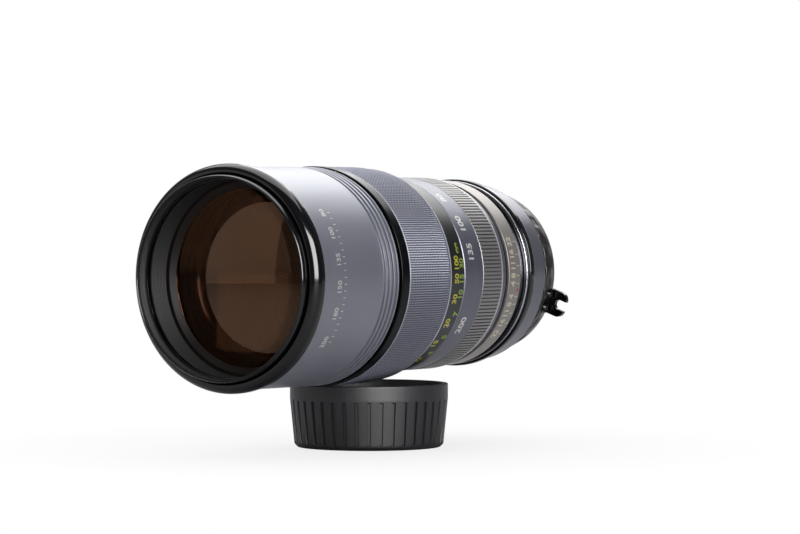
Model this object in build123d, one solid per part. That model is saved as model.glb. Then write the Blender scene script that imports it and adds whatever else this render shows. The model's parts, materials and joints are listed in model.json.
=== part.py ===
"""Camera zoom lens, shown as it lies on its rear cap.

Millimetres. The optical axis is the Y axis: the front glass looks towards -Y and the mount
faces +Y. The origin is the centre of the mount plane, and +Z is up. Stations are distances
along the optical axis from the mount plane, so they are negative towards the front. Angles
are counted anticlockwise as seen from the front of the lens, from +X towards +Z.
"""

import os
from math import asin, cos, degrees, hypot, pi, radians, sin, sqrt

from build123d import *

# Clearances
RUN = 0.08          # radial, between sleeves that turn or slide on each other
SEAT = 0.05         # radial, between pieces fixed to each other
FREE = 0.3          # between moving pieces that never touch
OVERRUN = 1.0       # how far a cutter passes the surface that it cuts

# Lengths of the outside rings, from the mount plane to the front
MOUNT_STEP = 1.4
APERTURE_LENGTH = 8.4
REAR_GROOVE = 4.6
HOLD_LENGTH = 8.6
BAND_LENGTH = 5.5
TRIM_LENGTH = 1.5
WAIST_LENGTH = 5.4
INDEX_LENGTH = 8.6
ZOOM_GAP = 2.5
BORDER_LENGTH = 6.5
RIBS_LENGTH = 12.0
CONE_LENGTH = 17.2
RING_GAP = 0.4
SCALE_LENGTH = 9.4
GRIP_LENGTH = 31.3
COLLAR_LENGTH = 5.4
BARREL_LENGTH = 50.1
BEZEL_LENGTH = 5.6
LIP_LENGTH = 3.0

# Nest of tubes, from the inside to the outside
GUIDE_BORE = 31.4
GUIDE_WALL = 1.8
CAM_WALL = 1.52
MAIN_WALL = 1.92
MAIN_FRONT_WALL = 2.42
LAND_WALL = 1.02
HELICOID_WALL = 1.82
FOCUS_WALL = 1.62
GRIP_WALL = 1.95
GRIP_EASE = 1.4
EASE_SHARE = 0.25
COLLAR_WALL = 2.15
SCALE_WALL = 0.8
SCALE_SEAT_WALL = 1.8
BARREL_WALL = 3.05
BARREL_TAPER = 0.4
BEZEL_RISE = 1.3
ZOOM_BORDER_WALL = 1.12
ZOOM_FLOOR_WALL = 0.8
ZOOM_CONE_WALL = 1.82
ZOOM_FRONT_WALL = 4.42
RIB_WALL = 0.9
INDEX_WALL = 1.15

# Movement
FOCUS_BACK = 26.0       # degrees from the photographed setting to infinity
FOCUS_TURN = 124.0      # degrees from the photographed setting to the nearest distance
FOCUS_LEAD = 20.0       # advance of the front group in one full turn of the focus ring
ZOOM_BACK = 63.0        # degrees from the photographed setting to the shortest focal length
ZOOM_TURN = 20.0        # degrees from the photographed setting to the longest focal length
VARIATOR_LEAD = 104.0   # travel of the variator in one full turn of the cam sleeve
COMPENSATOR_LEAD = -30.0
APERTURE_STOP = 7.0     # degrees between two clicks
APERTURE_STOPS = 7
APERTURE_SET = 1        # the photographed ring stands one click from fully open
STOP_MARGIN = 1.5       # degrees that a slot runs past the last position of its pin

# Front group
LIP_WALL = 1.35
THREAD_DEPTH = 5.0
LIP_ROUND = 0.5
BEZEL_ROUND = 1.9
FIN_COUNT = 4
FIN_PITCH = 2.7
FIN_GROOVE = 1.5
FIN_DEPTH = 1.1
CELL_WALL = 1.6
CELL_FRONT = 7.2        # from the front lip to the cell
RECESS_DEPTH = 18.9     # from the front lip to the shoulder that the glass stands on
CELL_SHOULDER = 3.05
CELL_NECK_WALL = 2.6
CELL_LIP = 2.0
FRONT_RETAINER_LENGTH = 1.9
FRONT_RETAINER_WIDTH = 4.2
GLASS_BEVEL = 0.6
CROWN_CURVES = (118.0, -420.0)
CROWN_THICKNESS = 10.5
FLINT_CURVES = (-420.0, 190.0)
FLINT_THICKNESS = 3.2
INNER_CURVES = (92.0, 340.0)
INNER_THICKNESS = 8.5
CEMENT = 0.05
SPACER_LENGTH = 3.2
SPACER_WALL = 1.6
HELICOID_OVERLAP = 14.0
HELICOID_REACH = 27.0
KEY_WIDTH = 6.0
KEY_LENGTH = 9.0
KEY_DEPTH = 1.0
KEY_COUNT = 3

# Zoom mechanism
END_WALL = 2.5
PIN_RADIUS = 1.5
PIN_COUNT = 3
CAM_SECTIONS = 9
KEY_PIN_RADIUS = 2.0
VARIATOR_PLACE = 97.0       # from the mount plane to the middle of the cell, as photographed
VARIATOR_LENGTH = 12.0
VARIATOR_BORE = 19.0
VARIATOR_WALL = 2.2
COMPENSATOR_PLACE = 73.0
COMPENSATOR_LENGTH = 10.0
COMPENSATOR_BORE = 21.0
RELAY_PLACE = 53.5
RELAY_LENGTH = 15.0
RELAY_BORE = 22.0
VARIATOR_CURVES = ((-160.0, 62.0), (-58.0, -420.0))
VARIATOR_THICKNESS = 2.6
COMPENSATOR_CURVES = (-66.0, -240.0)
COMPENSATOR_THICKNESS = 3.0
RELAY_CURVES = (85.0, -120.0)
RELAY_THICKNESS = 7.5
CELL_STEP = 1.2
PIN_START_ANGLE = 30.0

# Iris
IRIS_OPEN = 14.2
BLADE_COUNT = 7
BLADE_WIDTH = 7.0
BLADE_SPAN = 94.0       # degrees
BLADE_TAIL = 4.0        # degrees
BLADE_THICKNESS = 0.12
BLADE_GAP = 0.06
BLADE_TURN = 31.3       # degrees from fully open to fully closed
LUG_WIDTH = 3.4
ARM_WIDTH = 2.6
ARM_LENGTH = 3.0
PIVOT_OFFSET = 1.8      # from the outer edge of a blade to its pivot
IRIS_PIN_RADIUS = 0.5
IRIS_PLATE = 1.5
IRIS_PLACE = 2.0        # from the front of the rear barrel to the iris housing
IRIS_ROOM = 7.5         # from the iris housing to the wide bore behind it
ROTOR_THICKNESS = 1.2
ROTOR_WIDTH = 4.4
FINGER_LENGTH = 3.0
FINGER_WIDTH = 4.0

# Rear barrel, aperture ring and mount
BARREL_STEP = 0.8
HOLD_WALL = 1.45
TRIM_RISE = 1.75
REAR_WALL = 3.3
APERTURE_FRONT_WALL = 2.6
APERTURE_REAR_WALL = 1.3
APERTURE_CHAMFER = 0.5
SCALLOP_COUNT = 24
SCALLOP_RADIUS = 1.6
SCALLOP_DEPTH = 0.4
SCALLOP_LENGTH = 3.2
SEAT_FLANGE_LENGTH = 4.0
SEAT_FLANGE_WIDTH = 5.0
FLANGE_THICKNESS = 2.4
REGISTER_RADIUS = 22.0
REGISTER_WALL = 2.0
REGISTER_GAP = 1.7
RELIEF_WIDTH = 2.2
RELIEF_DEPTH = 0.5
TAB_RISE = 1.6
TAB_THICKNESS = 1.6
TAB_COUNT = 3
TAB_SPAN = 58.0         # degrees
TAB_START_ANGLE = 90.0
REGISTER_END = 0.9
MOUNT_SCREW_COUNT = 3
SCREW_HEAD_RADIUS = 1.5
SCREW_RADIUS = 0.9
SCREW_HEAD_LENGTH = 0.8
SCREW_LENGTH = 4.2
SLOT_WIDTH = 0.4
SLOT_DEPTH = 0.3
REAR_CELL_PLACE = 32.0      # from the mount plane to the front of the cell
REAR_CELL_FLANGE = 3.0
REAR_CELL_BORE = 19.0
REAR_CELL_WAIST = 16.0      # length of the wide bore
REAR_CELL_WALL = 2.6
REAR_NECK_BORE = 14.8
REAR_NECK_END = 1.8         # from the mount plane to the end of the neck
REAR_CURVES = ((70.0, -150.0), (48.0, -95.0))
REAR_THICKNESSES = (6.5, 5.5)
REAR_RETAINER_LENGTH = 1.2
REAR_RETAINER_WIDTH = 1.9
LEVER_PLACE = 5.0
LEVER_THICKNESS = 1.2
LEVER_WIDTH = 2.0
LEVER_ANGLE = 200.0
LEVER_TIP = 5.5             # how far the lever stands out behind the mount plane
LEVER_FINGER_WIDTH = 3.0
LEVER_FINGER_THICKNESS = 1.2
SPRING_WIRE = 0.25
SPRING_SPAN = 310.0         # degrees
BALL_RADIUS = 0.75
CLICK_SPRING_LENGTH = 0.9
CLICK_SPRING_WALL = 0.25

# Meter coupling fork
FORK_ANGLE = -20.2
FORK_WIDTH = 10.4
FORK_THICKNESS = 1.8
FORK_HEIGHT = 8.2
FORK_SLOT_RADIUS = 2.0
FORK_SLOT_FLOOR = 3.4
FORK_ROUND = 3.1
FOOT_LENGTH = 4.2
FOOT_THICKNESS = 1.0
FORK_SCREW_SPACING = 6.0
FORK_SCREW_RADIUS = 0.6
FORK_HEAD_RADIUS = 1.1
FORK_HEAD_HEIGHT = 0.5
FORK_SCREW_LENGTH = 1.4

# Marks and small screws
INDEX_ANGLE = -10.0
DOT_RADIUS = 0.8
DOT_EDGE = 1.6
DOT_DEPTH = 0.5
GRUB_COUNT = 3
GRUB_RADIUS = 0.8
GRUB_EDGE = 1.1
STOP_SCREW_RADIUS = 1.5
STOP_SCREW_RISE = 1.0
STOP_SCREW_PLACE = 5.4      # from the rear edge of the scale ring
STOP_SCREW_ANGLE = 90.0

# Zoom grip ribs
RIB_COUNT = 90
RIB_DEPTH = 0.45
RIB_SLOT_SHARE = 0.45

# Rear cap
CAP_PLACE = 89.0        # from the mount plane to the middle of the cap
CAP_RADIUS = 31.6
CAP_FOOT_RADIUS = 29.8
CAP_HEIGHT = 25.4
CAP_WALL = 2.2
CAP_BASE = 2.4
CAP_CHAMFER = 1.3
CAP_BAND = 5.8
CAP_RIB_COUNT = 40
CAP_SLOT_WIDTH = 1.7
CAP_SLOT_DEPTH = 0.9
CLAW_COUNT = 3
CLAW_SPAN = 40.0
CLAW_WIDTH = 2.4
CLAW_THICKNESS = 1.5
CLAW_DEPTH = 3.6        # from the rim to the claws
CAP_RING_WALL = 1.4

# Stations of the outside rings
aperture_rear = -MOUNT_STEP
aperture_front = aperture_rear - APERTURE_LENGTH
hold_rear = aperture_front - REAR_GROOVE
hold_front = hold_rear - HOLD_LENGTH
trim_rear = hold_front - BAND_LENGTH
trim_front = trim_rear - TRIM_LENGTH
index_rear = trim_front - WAIST_LENGTH
index_front = index_rear - INDEX_LENGTH
zoom_rear = index_front - ZOOM_GAP
ribs_rear = zoom_rear - BORDER_LENGTH
cone_rear = ribs_rear - RIBS_LENGTH
zoom_front = cone_rear - CONE_LENGTH
scale_rear = zoom_front - RING_GAP
grip_rear = scale_rear - SCALE_LENGTH
grip_front = grip_rear - GRIP_LENGTH
focus_front = grip_front - COLLAR_LENGTH
focus_gap = FOCUS_LEAD * FOCUS_BACK / 360 + FREE
barrel_rear = focus_front - focus_gap
barrel_front = barrel_rear - BARREL_LENGTH
bezel_front = barrel_front - BEZEL_LENGTH
lip_front = bezel_front - LIP_LENGTH

# Radii of the nest of tubes
guide_radius = GUIDE_BORE + GUIDE_WALL
cam_bore = guide_radius + RUN
cam_radius = cam_bore + CAM_WALL
main_bore = cam_radius + RUN
main_radius = main_bore + MAIN_WALL
main_front_radius = main_bore + MAIN_FRONT_WALL
land_radius = main_front_radius + LAND_WALL
helicoid_bore = main_front_radius + RUN
helicoid_radius = helicoid_bore + HELICOID_WALL
focus_bore = helicoid_radius + RUN
focus_radius = focus_bore + FOCUS_WALL
grip_bore = focus_radius + SEAT
grip_radius = grip_bore + GRIP_WALL
land_bore = land_radius + RUN
scale_seat = land_bore + SCALE_SEAT_WALL
barrel_bore = helicoid_radius + SEAT
barrel_radius = barrel_bore + BARREL_WALL
bezel_radius = barrel_radius + BEZEL_RISE
zoom_bore = main_radius + RUN
ribs_floor = zoom_bore + ZOOM_FLOOR_WALL
index_seat = main_radius
index_radius = index_seat + SEAT + INDEX_WALL

# Where the helicoid and the main barrel meet
helicoid_front = barrel_rear - HELICOID_OVERLAP
helicoid_rear = barrel_rear + HELICOID_REACH
main_front = focus_front + END_WALL
land_front = helicoid_rear + focus_gap + FREE


def turned(corners, rounds=()):
    """Ring turned about the optical axis.

    The corners are (station, radius), and rounds holds (corner number, radius of the round).
    """
    outline = make_face(Polyline([(radius, station) for station, radius in corners], close=True))
    for number, size in rounds:
        station, radius = corners[number]
        corner = outline.vertices().sort_by_distance((radius, station, 0))[0]
        outline = fillet(corner, size)
    return revolve(outline, Axis.Y)


def sleeve(front, rear, bore, radius):
    """Plain tube about the optical axis."""
    return turned([(front, bore), (front, radius), (rear, radius), (rear, bore)])


def facing(angle, station):
    """Plane across the optical axis, seen from the front, with its X axis at the angle."""
    turn = radians(angle)
    return Plane(origin=(0, station, 0), x_dir=(cos(turn), 0, sin(turn)), z_dir=(0, -1, 0))


def outward(angle, station, radius):
    """Plane square to the radius at the angle: X runs to the rear, Y anticlockwise, Z outward."""
    turn = radians(angle)
    place = (radius * cos(turn), station, radius * sin(turn))
    return Plane(origin=place, x_dir=(0, 1, 0), z_dir=(cos(turn), 0, sin(turn)))


def radial_pin(angle, station, inner, outer, radius):
    """Round pin that stands along the radius at the angle."""
    base = (Align.CENTER, Align.CENTER, Align.MIN)
    return outward(angle, station, inner) * Cylinder(radius, outer - inner, align=base)


def axial_pin(place, front, rear, radius):
    """Round pin along the optical axis; the place is (x, z)."""
    seat = Plane(origin=(place[0], front, place[1]), z_dir=(0, 1, 0))
    return seat * Cylinder(radius, rear - front, align=(Align.CENTER, Align.CENTER, Align.MIN))


def spread(count, first=0.0):
    """Equal angles round the axis, from the first."""
    return [first + 360 * number / count for number in range(count)]


def sector(front, rear, bore, radius, start, span):
    """Part of a tube, from the start angle anticlockwise over the span."""
    outline = make_face(Polyline(
        [(bore, front), (radius, front), (radius, rear), (bore, rear)], close=True))
    piece = revolve(outline, Axis.Y, revolution_arc=span)
    return Rotation(0, -start - span, 0) * piece


def sag(radius, curve):
    """Depth of a spherical surface at a radius; positive curves have their centre to the rear."""
    depth = abs(curve) - sqrt(curve * curve - radius * radius)
    return depth if curve > 0 else -depth


def glass(front, edge, curves, thickness):
    """Lens element with its front vertex at the station."""
    rear = front + thickness
    half = edge / 2
    first, last = curves
    face_front = ThreePointArc(
        (0, front), (half, front + sag(half, first)), (edge, front + sag(edge, first)))
    face_rear = ThreePointArc(
        (edge, rear + sag(edge, last)), (half, rear + sag(half, last)), (0, rear))
    rim = Line(face_front @ 1, face_rear @ 0)
    axis = Line((0, rear), (0, front))
    return revolve(make_face([face_front, rim, face_rear, axis]), Axis.Y)


def ribbed(piece, cutter, count):
    """The piece with copies of one cutter taken out all round the optical axis."""
    return piece - [Rotation(0, angle, 0) * cutter for angle in spread(count)]


# Front group

lip_radius = helicoid_radius + FREE
filter_radius = lip_radius - LIP_WALL
cell_radius = barrel_bore - SEAT
cell_bore = cell_radius - CELL_WALL
cell_front = lip_front + CELL_FRONT
shoulder = lip_front + RECESS_DEPTH
glass_bore = cell_bore - CELL_SHOULDER
glass_edge = glass_bore - SEAT
retainer_bore = cell_bore - FRONT_RETAINER_WIDTH
crown_front = shoulder - sag(retainer_bore, CROWN_CURVES[0])
crown_rear = crown_front + CROWN_THICKNESS
flint_rear = crown_rear + CEMENT + FLINT_THICKNESS
spacer_front = flint_rear + sag(glass_edge, FLINT_CURVES[1]) + FREE
inner_front = spacer_front + SPACER_LENGTH + FREE - sag(glass_edge - SPACER_WALL, INNER_CURVES[0])
cell_rear = inner_front + INNER_THICKNESS + sag(glass_edge, INNER_CURVES[1]) + FREE + CELL_LIP


def filter_ring():
    """Thin front lip with the bore of the filter thread."""
    rear = cell_front - FREE
    step = lip_front + THREAD_DEPTH
    return turned([
        (lip_front, filter_radius), (lip_front, lip_radius), (bezel_front, lip_radius),
        (rear, lip_radius), (rear, cell_bore), (step, cell_bore), (step, filter_radius),
    ], [(1, LIP_ROUND)])


def front_bezel():
    """Wide rounded ring behind the lip."""
    bore = lip_radius + SEAT
    return turned([
        (bezel_front, bore), (bezel_front, bezel_radius),
        (barrel_front, bezel_radius), (barrel_front, bore),
    ], [(1, BEZEL_ROUND), (2, LIP_ROUND)])


def front_barrel():
    """Outer tube of the front group, with fins cut at its rear end."""
    rear_radius = barrel_radius + BARREL_TAPER
    shell = turned([
        (barrel_front, barrel_bore), (barrel_front, barrel_radius),
        (barrel_rear, rear_radius), (barrel_rear, barrel_bore),
    ])
    for number in range(FIN_COUNT):
        rear = barrel_rear - FIN_GROOVE / 2 - FIN_PITCH * number
        groove_floor = rear_radius - FIN_DEPTH
        shell -= sleeve(rear - FIN_GROOVE, rear, groove_floor, rear_radius + OVERRUN)
    return shell


def front_cell():
    """Black inner wall with the seat of the front glass."""
    neck = glass_bore + CELL_NECK_WALL
    step = shoulder + FRONT_RETAINER_LENGTH
    lip = cell_rear - CELL_LIP
    return turned([
        (cell_front, cell_bore), (cell_front, cell_radius), (step, cell_radius), (step, neck),
        (cell_rear, neck), (cell_rear, glass_bore - CELL_LIP), (lip, glass_bore - CELL_LIP),
        (lip, glass_bore), (shoulder, glass_bore), (shoulder, cell_bore),
    ])


def front_retaining_ring():
    """Ring screwed into the cell in front of the glass."""
    rear = shoulder - FREE
    front = rear - FRONT_RETAINER_LENGTH
    radius = cell_bore - SEAT
    return turned([
        (front, retainer_bore + GLASS_BEVEL), (front, radius), (rear, radius),
        (rear, retainer_bore - GLASS_BEVEL),
    ])


def front_element_crown():
    """Thick convex element that shows from the front."""
    return glass(crown_front, glass_edge, CROWN_CURVES, CROWN_THICKNESS)


def front_element_flint():
    """Thin element cemented behind the first."""
    return glass(crown_rear + CEMENT, glass_edge, FLINT_CURVES, FLINT_THICKNESS)


def front_spacer():
    """Ring between the cemented pair and the inner element."""
    return sleeve(spacer_front, spacer_front + SPACER_LENGTH, glass_edge - SPACER_WALL, glass_edge)


def front_element_inner():
    """Third element of the front group."""
    return glass(inner_front, glass_edge, INNER_CURVES, INNER_THICKNESS)


def helicoid_tube():
    """Tube that carries the front group; its keyways slide on the fixed keys."""
    tube = sleeve(helicoid_front, helicoid_rear, helicoid_bore, helicoid_radius)
    depth = KEY_DEPTH + SEAT
    length = helicoid_rear - barrel_rear
    keyway = Box(length + OVERRUN, KEY_WIDTH + 2 * SEAT, depth + OVERRUN,
                 align=(Align.MIN, Align.CENTER, Align.MAX))
    return tube - [outward(angle, barrel_rear, helicoid_bore + depth) * keyway
                   for angle in spread(KEY_COUNT)]


# Focus ring

def stop_groove(radius):
    """Cut inside the focus ring for the stop screw, as long as the ring's turn."""
    station = scale_rear - STOP_SCREW_PLACE
    half = STOP_SCREW_RADIUS + SEAT
    margin = STOP_MARGIN + degrees(half / land_radius)
    start = STOP_SCREW_ANGLE - FOCUS_TURN - margin
    return sector(station - half, station + half, land_bore - OVERRUN, radius,
                  start, FOCUS_TURN + FOCUS_BACK + 2 * margin)


def focus_ring():
    """Tube of the focus ring with its plain collar."""
    collar = focus_bore + COLLAR_WALL + FOCUS_WALL
    rear = scale_rear - SEAT
    ring = turned([
        (focus_front, focus_bore), (focus_front, collar), (grip_front, collar),
        (grip_front, focus_radius), (grip_rear, focus_radius), (grip_rear, scale_seat),
        (rear, scale_seat), (rear, land_bore), (land_front, land_bore), (land_front, focus_bore),
    ], [(1, LIP_ROUND), (2, LIP_ROUND)])
    ring -= stop_groove(land_radius + STOP_SCREW_RISE + FREE)
    return ring - grub_pins(GRUB_RADIUS + SEAT, scale_seat - SCALE_WALL - SEAT, scale_seat + OVERRUN)


def focus_grip():
    """Sleeve that carries the knurl, a little smaller at its rear edge."""
    front = grip_front + SEAT
    ease = grip_rear - GRIP_LENGTH * EASE_SHARE
    return turned([
        (front, grip_bore), (front, grip_radius), (ease, grip_radius),
        (grip_rear, grip_radius - GRIP_EASE), (grip_rear, grip_bore),
    ], [(1, LIP_ROUND)])


def grub_pins(radius, inner, outer):
    """Small screws through the scale ring into the focus ring."""
    station = scale_rear - GRUB_EDGE
    return [radial_pin(angle, station, inner, outer, radius)
            for angle in spread(GRUB_COUNT, STOP_SCREW_ANGLE)]


scale_bore = scale_seat + SEAT
scale_radius = scale_bore + SCALE_WALL


def distance_scale_ring():
    """Thin ring behind the grip, with the distance numerals."""
    ring = sleeve(grip_rear + SEAT, scale_rear, scale_bore, scale_radius)
    return ring - grub_pins(GRUB_RADIUS + SEAT, scale_bore - OVERRUN, scale_radius + OVERRUN)


def scale_screws():
    """Grub screws that fix the scale ring."""
    return grub_pins(GRUB_RADIUS, scale_seat - SCALE_WALL, scale_radius - SLOT_DEPTH)


# Fixed barrels

def main_barrel():
    """Fixed tube that the focus and zoom rings turn on."""
    rear = index_front
    tube = turned([
        (main_front, guide_radius + SEAT), (main_front, main_front_radius),
        (land_front, main_front_radius), (land_front, land_radius), (scale_rear, land_radius),
        (scale_rear, main_radius), (rear, main_radius), (rear, main_bore),
        (main_front + END_WALL, main_bore), (main_front + END_WALL, guide_radius + SEAT),
    ])
    station = zoom_rear - BORDER_LENGTH / 2
    half = KEY_PIN_RADIUS + SEAT
    margin = STOP_MARGIN + degrees(half / main_radius)
    tube -= sector(station - half, station + half, main_bore - OVERRUN, main_radius + OVERRUN,
                   -ZOOM_BACK - margin, ZOOM_BACK + ZOOM_TURN + 2 * margin)
    stop_hole = STOP_SCREW_RADIUS + SEAT
    stop_place = scale_rear - STOP_SCREW_PLACE
    tube -= radial_pin(STOP_SCREW_ANGLE, stop_place, main_radius, land_radius + OVERRUN, stop_hole)
    return tube


def focus_stop_screw():
    """Screw whose head ends the turn of the focus ring."""
    station = scale_rear - STOP_SCREW_PLACE
    return radial_pin(STOP_SCREW_ANGLE, station, main_radius + SEAT,
                      land_radius + STOP_SCREW_RISE, STOP_SCREW_RADIUS)


def guide_keys():
    """Keys on the main barrel that keep the front group from turning."""
    front = main_front + END_WALL
    key = Box(KEY_LENGTH, KEY_WIDTH, KEY_DEPTH, align=(Align.MIN, Align.CENTER, Align.MIN))
    floor = sqrt(main_front_radius ** 2 - (KEY_WIDTH / 2) ** 2)
    round_seat = sleeve(front - OVERRUN, front + KEY_LENGTH + OVERRUN, 0, main_front_radius + SEAT / 2)
    keys = []
    for angle in spread(KEY_COUNT):
        keys.append(outward(angle, front, floor) * key - round_seat)
    return keys


def slot_sections(angle, station, back, turn, lead):
    """Angle and station of the middle line of a cam slot, in equal steps."""
    steps = [-back + (back + turn) * number / (CAM_SECTIONS - 1) for number in range(CAM_SECTIONS)]
    return [(angle - step, station + lead * step / 360) for step in steps]


def cam_slot(angle, station, lead):
    """Cutter for one helical slot with round ends, for a pin at the angle and station."""
    slope = lead / (2 * pi * (cam_bore + CAM_WALL / 2))
    width = 2 * (PIN_RADIUS + SEAT) * sqrt(1 + slope * slope)
    depth = CAM_WALL + 2 * OVERRUN
    line = slot_sections(angle, station, ZOOM_BACK, ZOOM_TURN, lead)
    sections = []
    for place_angle, place in line:
        turn = radians(place_angle)
        middle = cam_bore + CAM_WALL / 2
        spot = Plane(origin=(middle * cos(turn), place, middle * sin(turn)),
                     x_dir=(0, 1, 0), z_dir=(-sin(turn), 0, cos(turn)))
        sections.append(spot * Rectangle(width, depth))
    slot = loft(sections)
    for place_angle, place in (line[0], line[-1]):
        slot += radial_pin(place_angle, place, cam_bore - OVERRUN, cam_radius + OVERRUN,
                           PIN_RADIUS + SEAT)
    return slot


variator_angles = spread(PIN_COUNT, PIN_START_ANGLE)
compensator_angles = spread(PIN_COUNT, PIN_START_ANGLE)


def cam_sleeve():
    """Turning sleeve with three helical slots for each sliding group."""
    front = main_front + END_WALL + FREE
    rear = index_front - CELL_STEP - FREE
    tube = sleeve(front, rear, cam_bore, cam_radius)
    cuts = [cam_slot(angle, -VARIATOR_PLACE, VARIATOR_LEAD) for angle in variator_angles]
    cuts += [cam_slot(angle, -COMPENSATOR_PLACE, COMPENSATOR_LEAD) for angle in compensator_angles]
    station = zoom_rear - BORDER_LENGTH / 2
    cuts.append(radial_pin(0, station, cam_bore - OVERRUN, cam_radius + OVERRUN, KEY_PIN_RADIUS + SEAT))
    return tube - cuts


def straight_slot(angle, station, lead):
    """Cutter for the straight slot that keeps a sliding group from turning."""
    ends = sorted((station - lead * ZOOM_BACK / 360, station + lead * ZOOM_TURN / 360))
    margin = PIN_RADIUS + FREE
    length = ends[1] - ends[0] + 2 * margin
    slot = outward(angle, (ends[0] + ends[1]) / 2, GUIDE_BORE - OVERRUN)
    return slot * extrude(SlotOverall(length, 2 * (PIN_RADIUS + SEAT)), GUIDE_WALL + 2 * OVERRUN)


def guide_tube():
    """Fixed inner tube with straight slots, and a rim that locates it at the rear."""
    rim = index_front - CELL_STEP
    tube = turned([
        (main_front, GUIDE_BORE), (main_front, guide_radius), (rim, guide_radius),
        (rim, main_bore - SEAT), (index_front, main_bore - SEAT), (index_front, GUIDE_BORE),
    ])
    cuts = [straight_slot(angle, -VARIATOR_PLACE, VARIATOR_LEAD) for angle in variator_angles]
    cuts += [straight_slot(angle, -COMPENSATOR_PLACE, COMPENSATOR_LEAD)
             for angle in compensator_angles]
    return tube - cuts


# Zoom ring

def zoom_ring():
    """Conical ring with the focal lengths, a floor for the ribbed grip and a plain border."""
    cone = zoom_bore + ZOOM_CONE_WALL
    border = zoom_bore + ZOOM_BORDER_WALL
    ring = turned([
        (zoom_front, zoom_bore), (zoom_front, zoom_bore + ZOOM_FRONT_WALL), (cone_rear, cone),
        (cone_rear, ribs_floor), (ribs_rear, ribs_floor), (ribs_rear, border),
        (zoom_rear, border), (zoom_rear, zoom_bore),
    ], [(1, LIP_ROUND), (6, LIP_ROUND)])
    station = zoom_rear - BORDER_LENGTH / 2
    return ring - radial_pin(0, station, zoom_bore - OVERRUN, border - SLOT_DEPTH, KEY_PIN_RADIUS + SEAT)


def zoom_grip():
    """Ribbed sleeve of the zoom ring."""
    bore = ribs_floor + SEAT
    radius = bore + RIB_WALL
    grip = sleeve(cone_rear + SEAT, ribs_rear - SEAT, bore, radius)
    pitch = 2 * pi * radius / RIB_COUNT
    cutter = outward(0, (cone_rear + ribs_rear) / 2, radius - RIB_DEPTH) * Box(
        RIBS_LENGTH - 2 * RIB_WALL, pitch * RIB_SLOT_SHARE, RIB_DEPTH + OVERRUN,
        align=(Align.CENTER, Align.CENTER, Align.MIN))
    return ribbed(grip, cutter, RIB_COUNT)


def zoom_key():
    """Pin from the zoom ring through the main barrel into the cam sleeve."""
    station = zoom_rear - BORDER_LENGTH / 2
    outer = zoom_bore + ZOOM_BORDER_WALL - SLOT_DEPTH - SEAT
    return radial_pin(0, station, cam_bore + SEAT, outer, KEY_PIN_RADIUS)


# Sliding groups

def sliding_cell(place, length, bore):
    """Cell with a glass seat in the middle and a bearing rim at each end."""
    front, rear = -place - length / 2, -place + length / 2
    radius = GUIDE_BORE - RUN
    waist = radius - CELL_STEP
    return turned([
        (front, bore), (front, radius), (front + CELL_STEP, radius), (front + CELL_STEP, waist),
        (rear - CELL_STEP, waist), (rear - CELL_STEP, radius), (rear, radius), (rear, bore),
    ])


def cell_pins(place, angles, waist):
    """Follower pins screwed into a sliding cell."""
    return [radial_pin(angle, -place, waist, cam_radius - SEAT, PIN_RADIUS) for angle in angles]


pin_root = GUIDE_BORE - RUN - CELL_STEP - VARIATOR_WALL


def variator_cell():
    """Cell of the group that changes the focal length."""
    cell = sliding_cell(VARIATOR_PLACE, VARIATOR_LENGTH, VARIATOR_BORE)
    return cell - [radial_pin(angle, -VARIATOR_PLACE, pin_root - SEAT, GUIDE_BORE, PIN_RADIUS + SEAT)
                   for angle in variator_angles]


def variator_pins():
    """Follower pins of the variator."""
    return cell_pins(VARIATOR_PLACE, variator_angles, pin_root)


def variator_element_front():
    """First negative element of the variator."""
    front = -VARIATOR_PLACE - VARIATOR_THICKNESS
    return glass(front - FREE, VARIATOR_BORE - SEAT, VARIATOR_CURVES[0], VARIATOR_THICKNESS)


def variator_element_rear():
    """Second negative element of the variator."""
    edge = VARIATOR_BORE - SEAT
    front = -VARIATOR_PLACE + FREE + sag(edge, VARIATOR_CURVES[0][1]) - sag(edge, VARIATOR_CURVES[1][0])
    return glass(front, edge, VARIATOR_CURVES[1], VARIATOR_THICKNESS)


def compensator_cell():
    """Cell of the group that keeps the image sharp while zooming."""
    cell = sliding_cell(COMPENSATOR_PLACE, COMPENSATOR_LENGTH, COMPENSATOR_BORE)
    return cell - [
        radial_pin(angle, -COMPENSATOR_PLACE, pin_root - SEAT, GUIDE_BORE, PIN_RADIUS + SEAT)
        for angle in compensator_angles]


def compensator_pins():
    """Follower pins of the compensator."""
    return cell_pins(COMPENSATOR_PLACE, compensator_angles, pin_root)


def compensator_element():
    """Negative element of the compensator."""
    front = -COMPENSATOR_PLACE - COMPENSATOR_THICKNESS / 2
    return glass(front, COMPENSATOR_BORE - SEAT, COMPENSATOR_CURVES, COMPENSATOR_THICKNESS)


def relay_cell():
    """Fixed cell in front of the iris."""
    return sleeve(-RELAY_PLACE - RELAY_LENGTH / 2, -RELAY_PLACE + RELAY_LENGTH / 2,
                  RELAY_BORE, GUIDE_BORE - SEAT)


def relay_element():
    """Convex element of the fixed relay."""
    return glass(-RELAY_PLACE - RELAY_THICKNESS / 2, RELAY_BORE - SEAT, RELAY_CURVES, RELAY_THICKNESS)


# Iris

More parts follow.
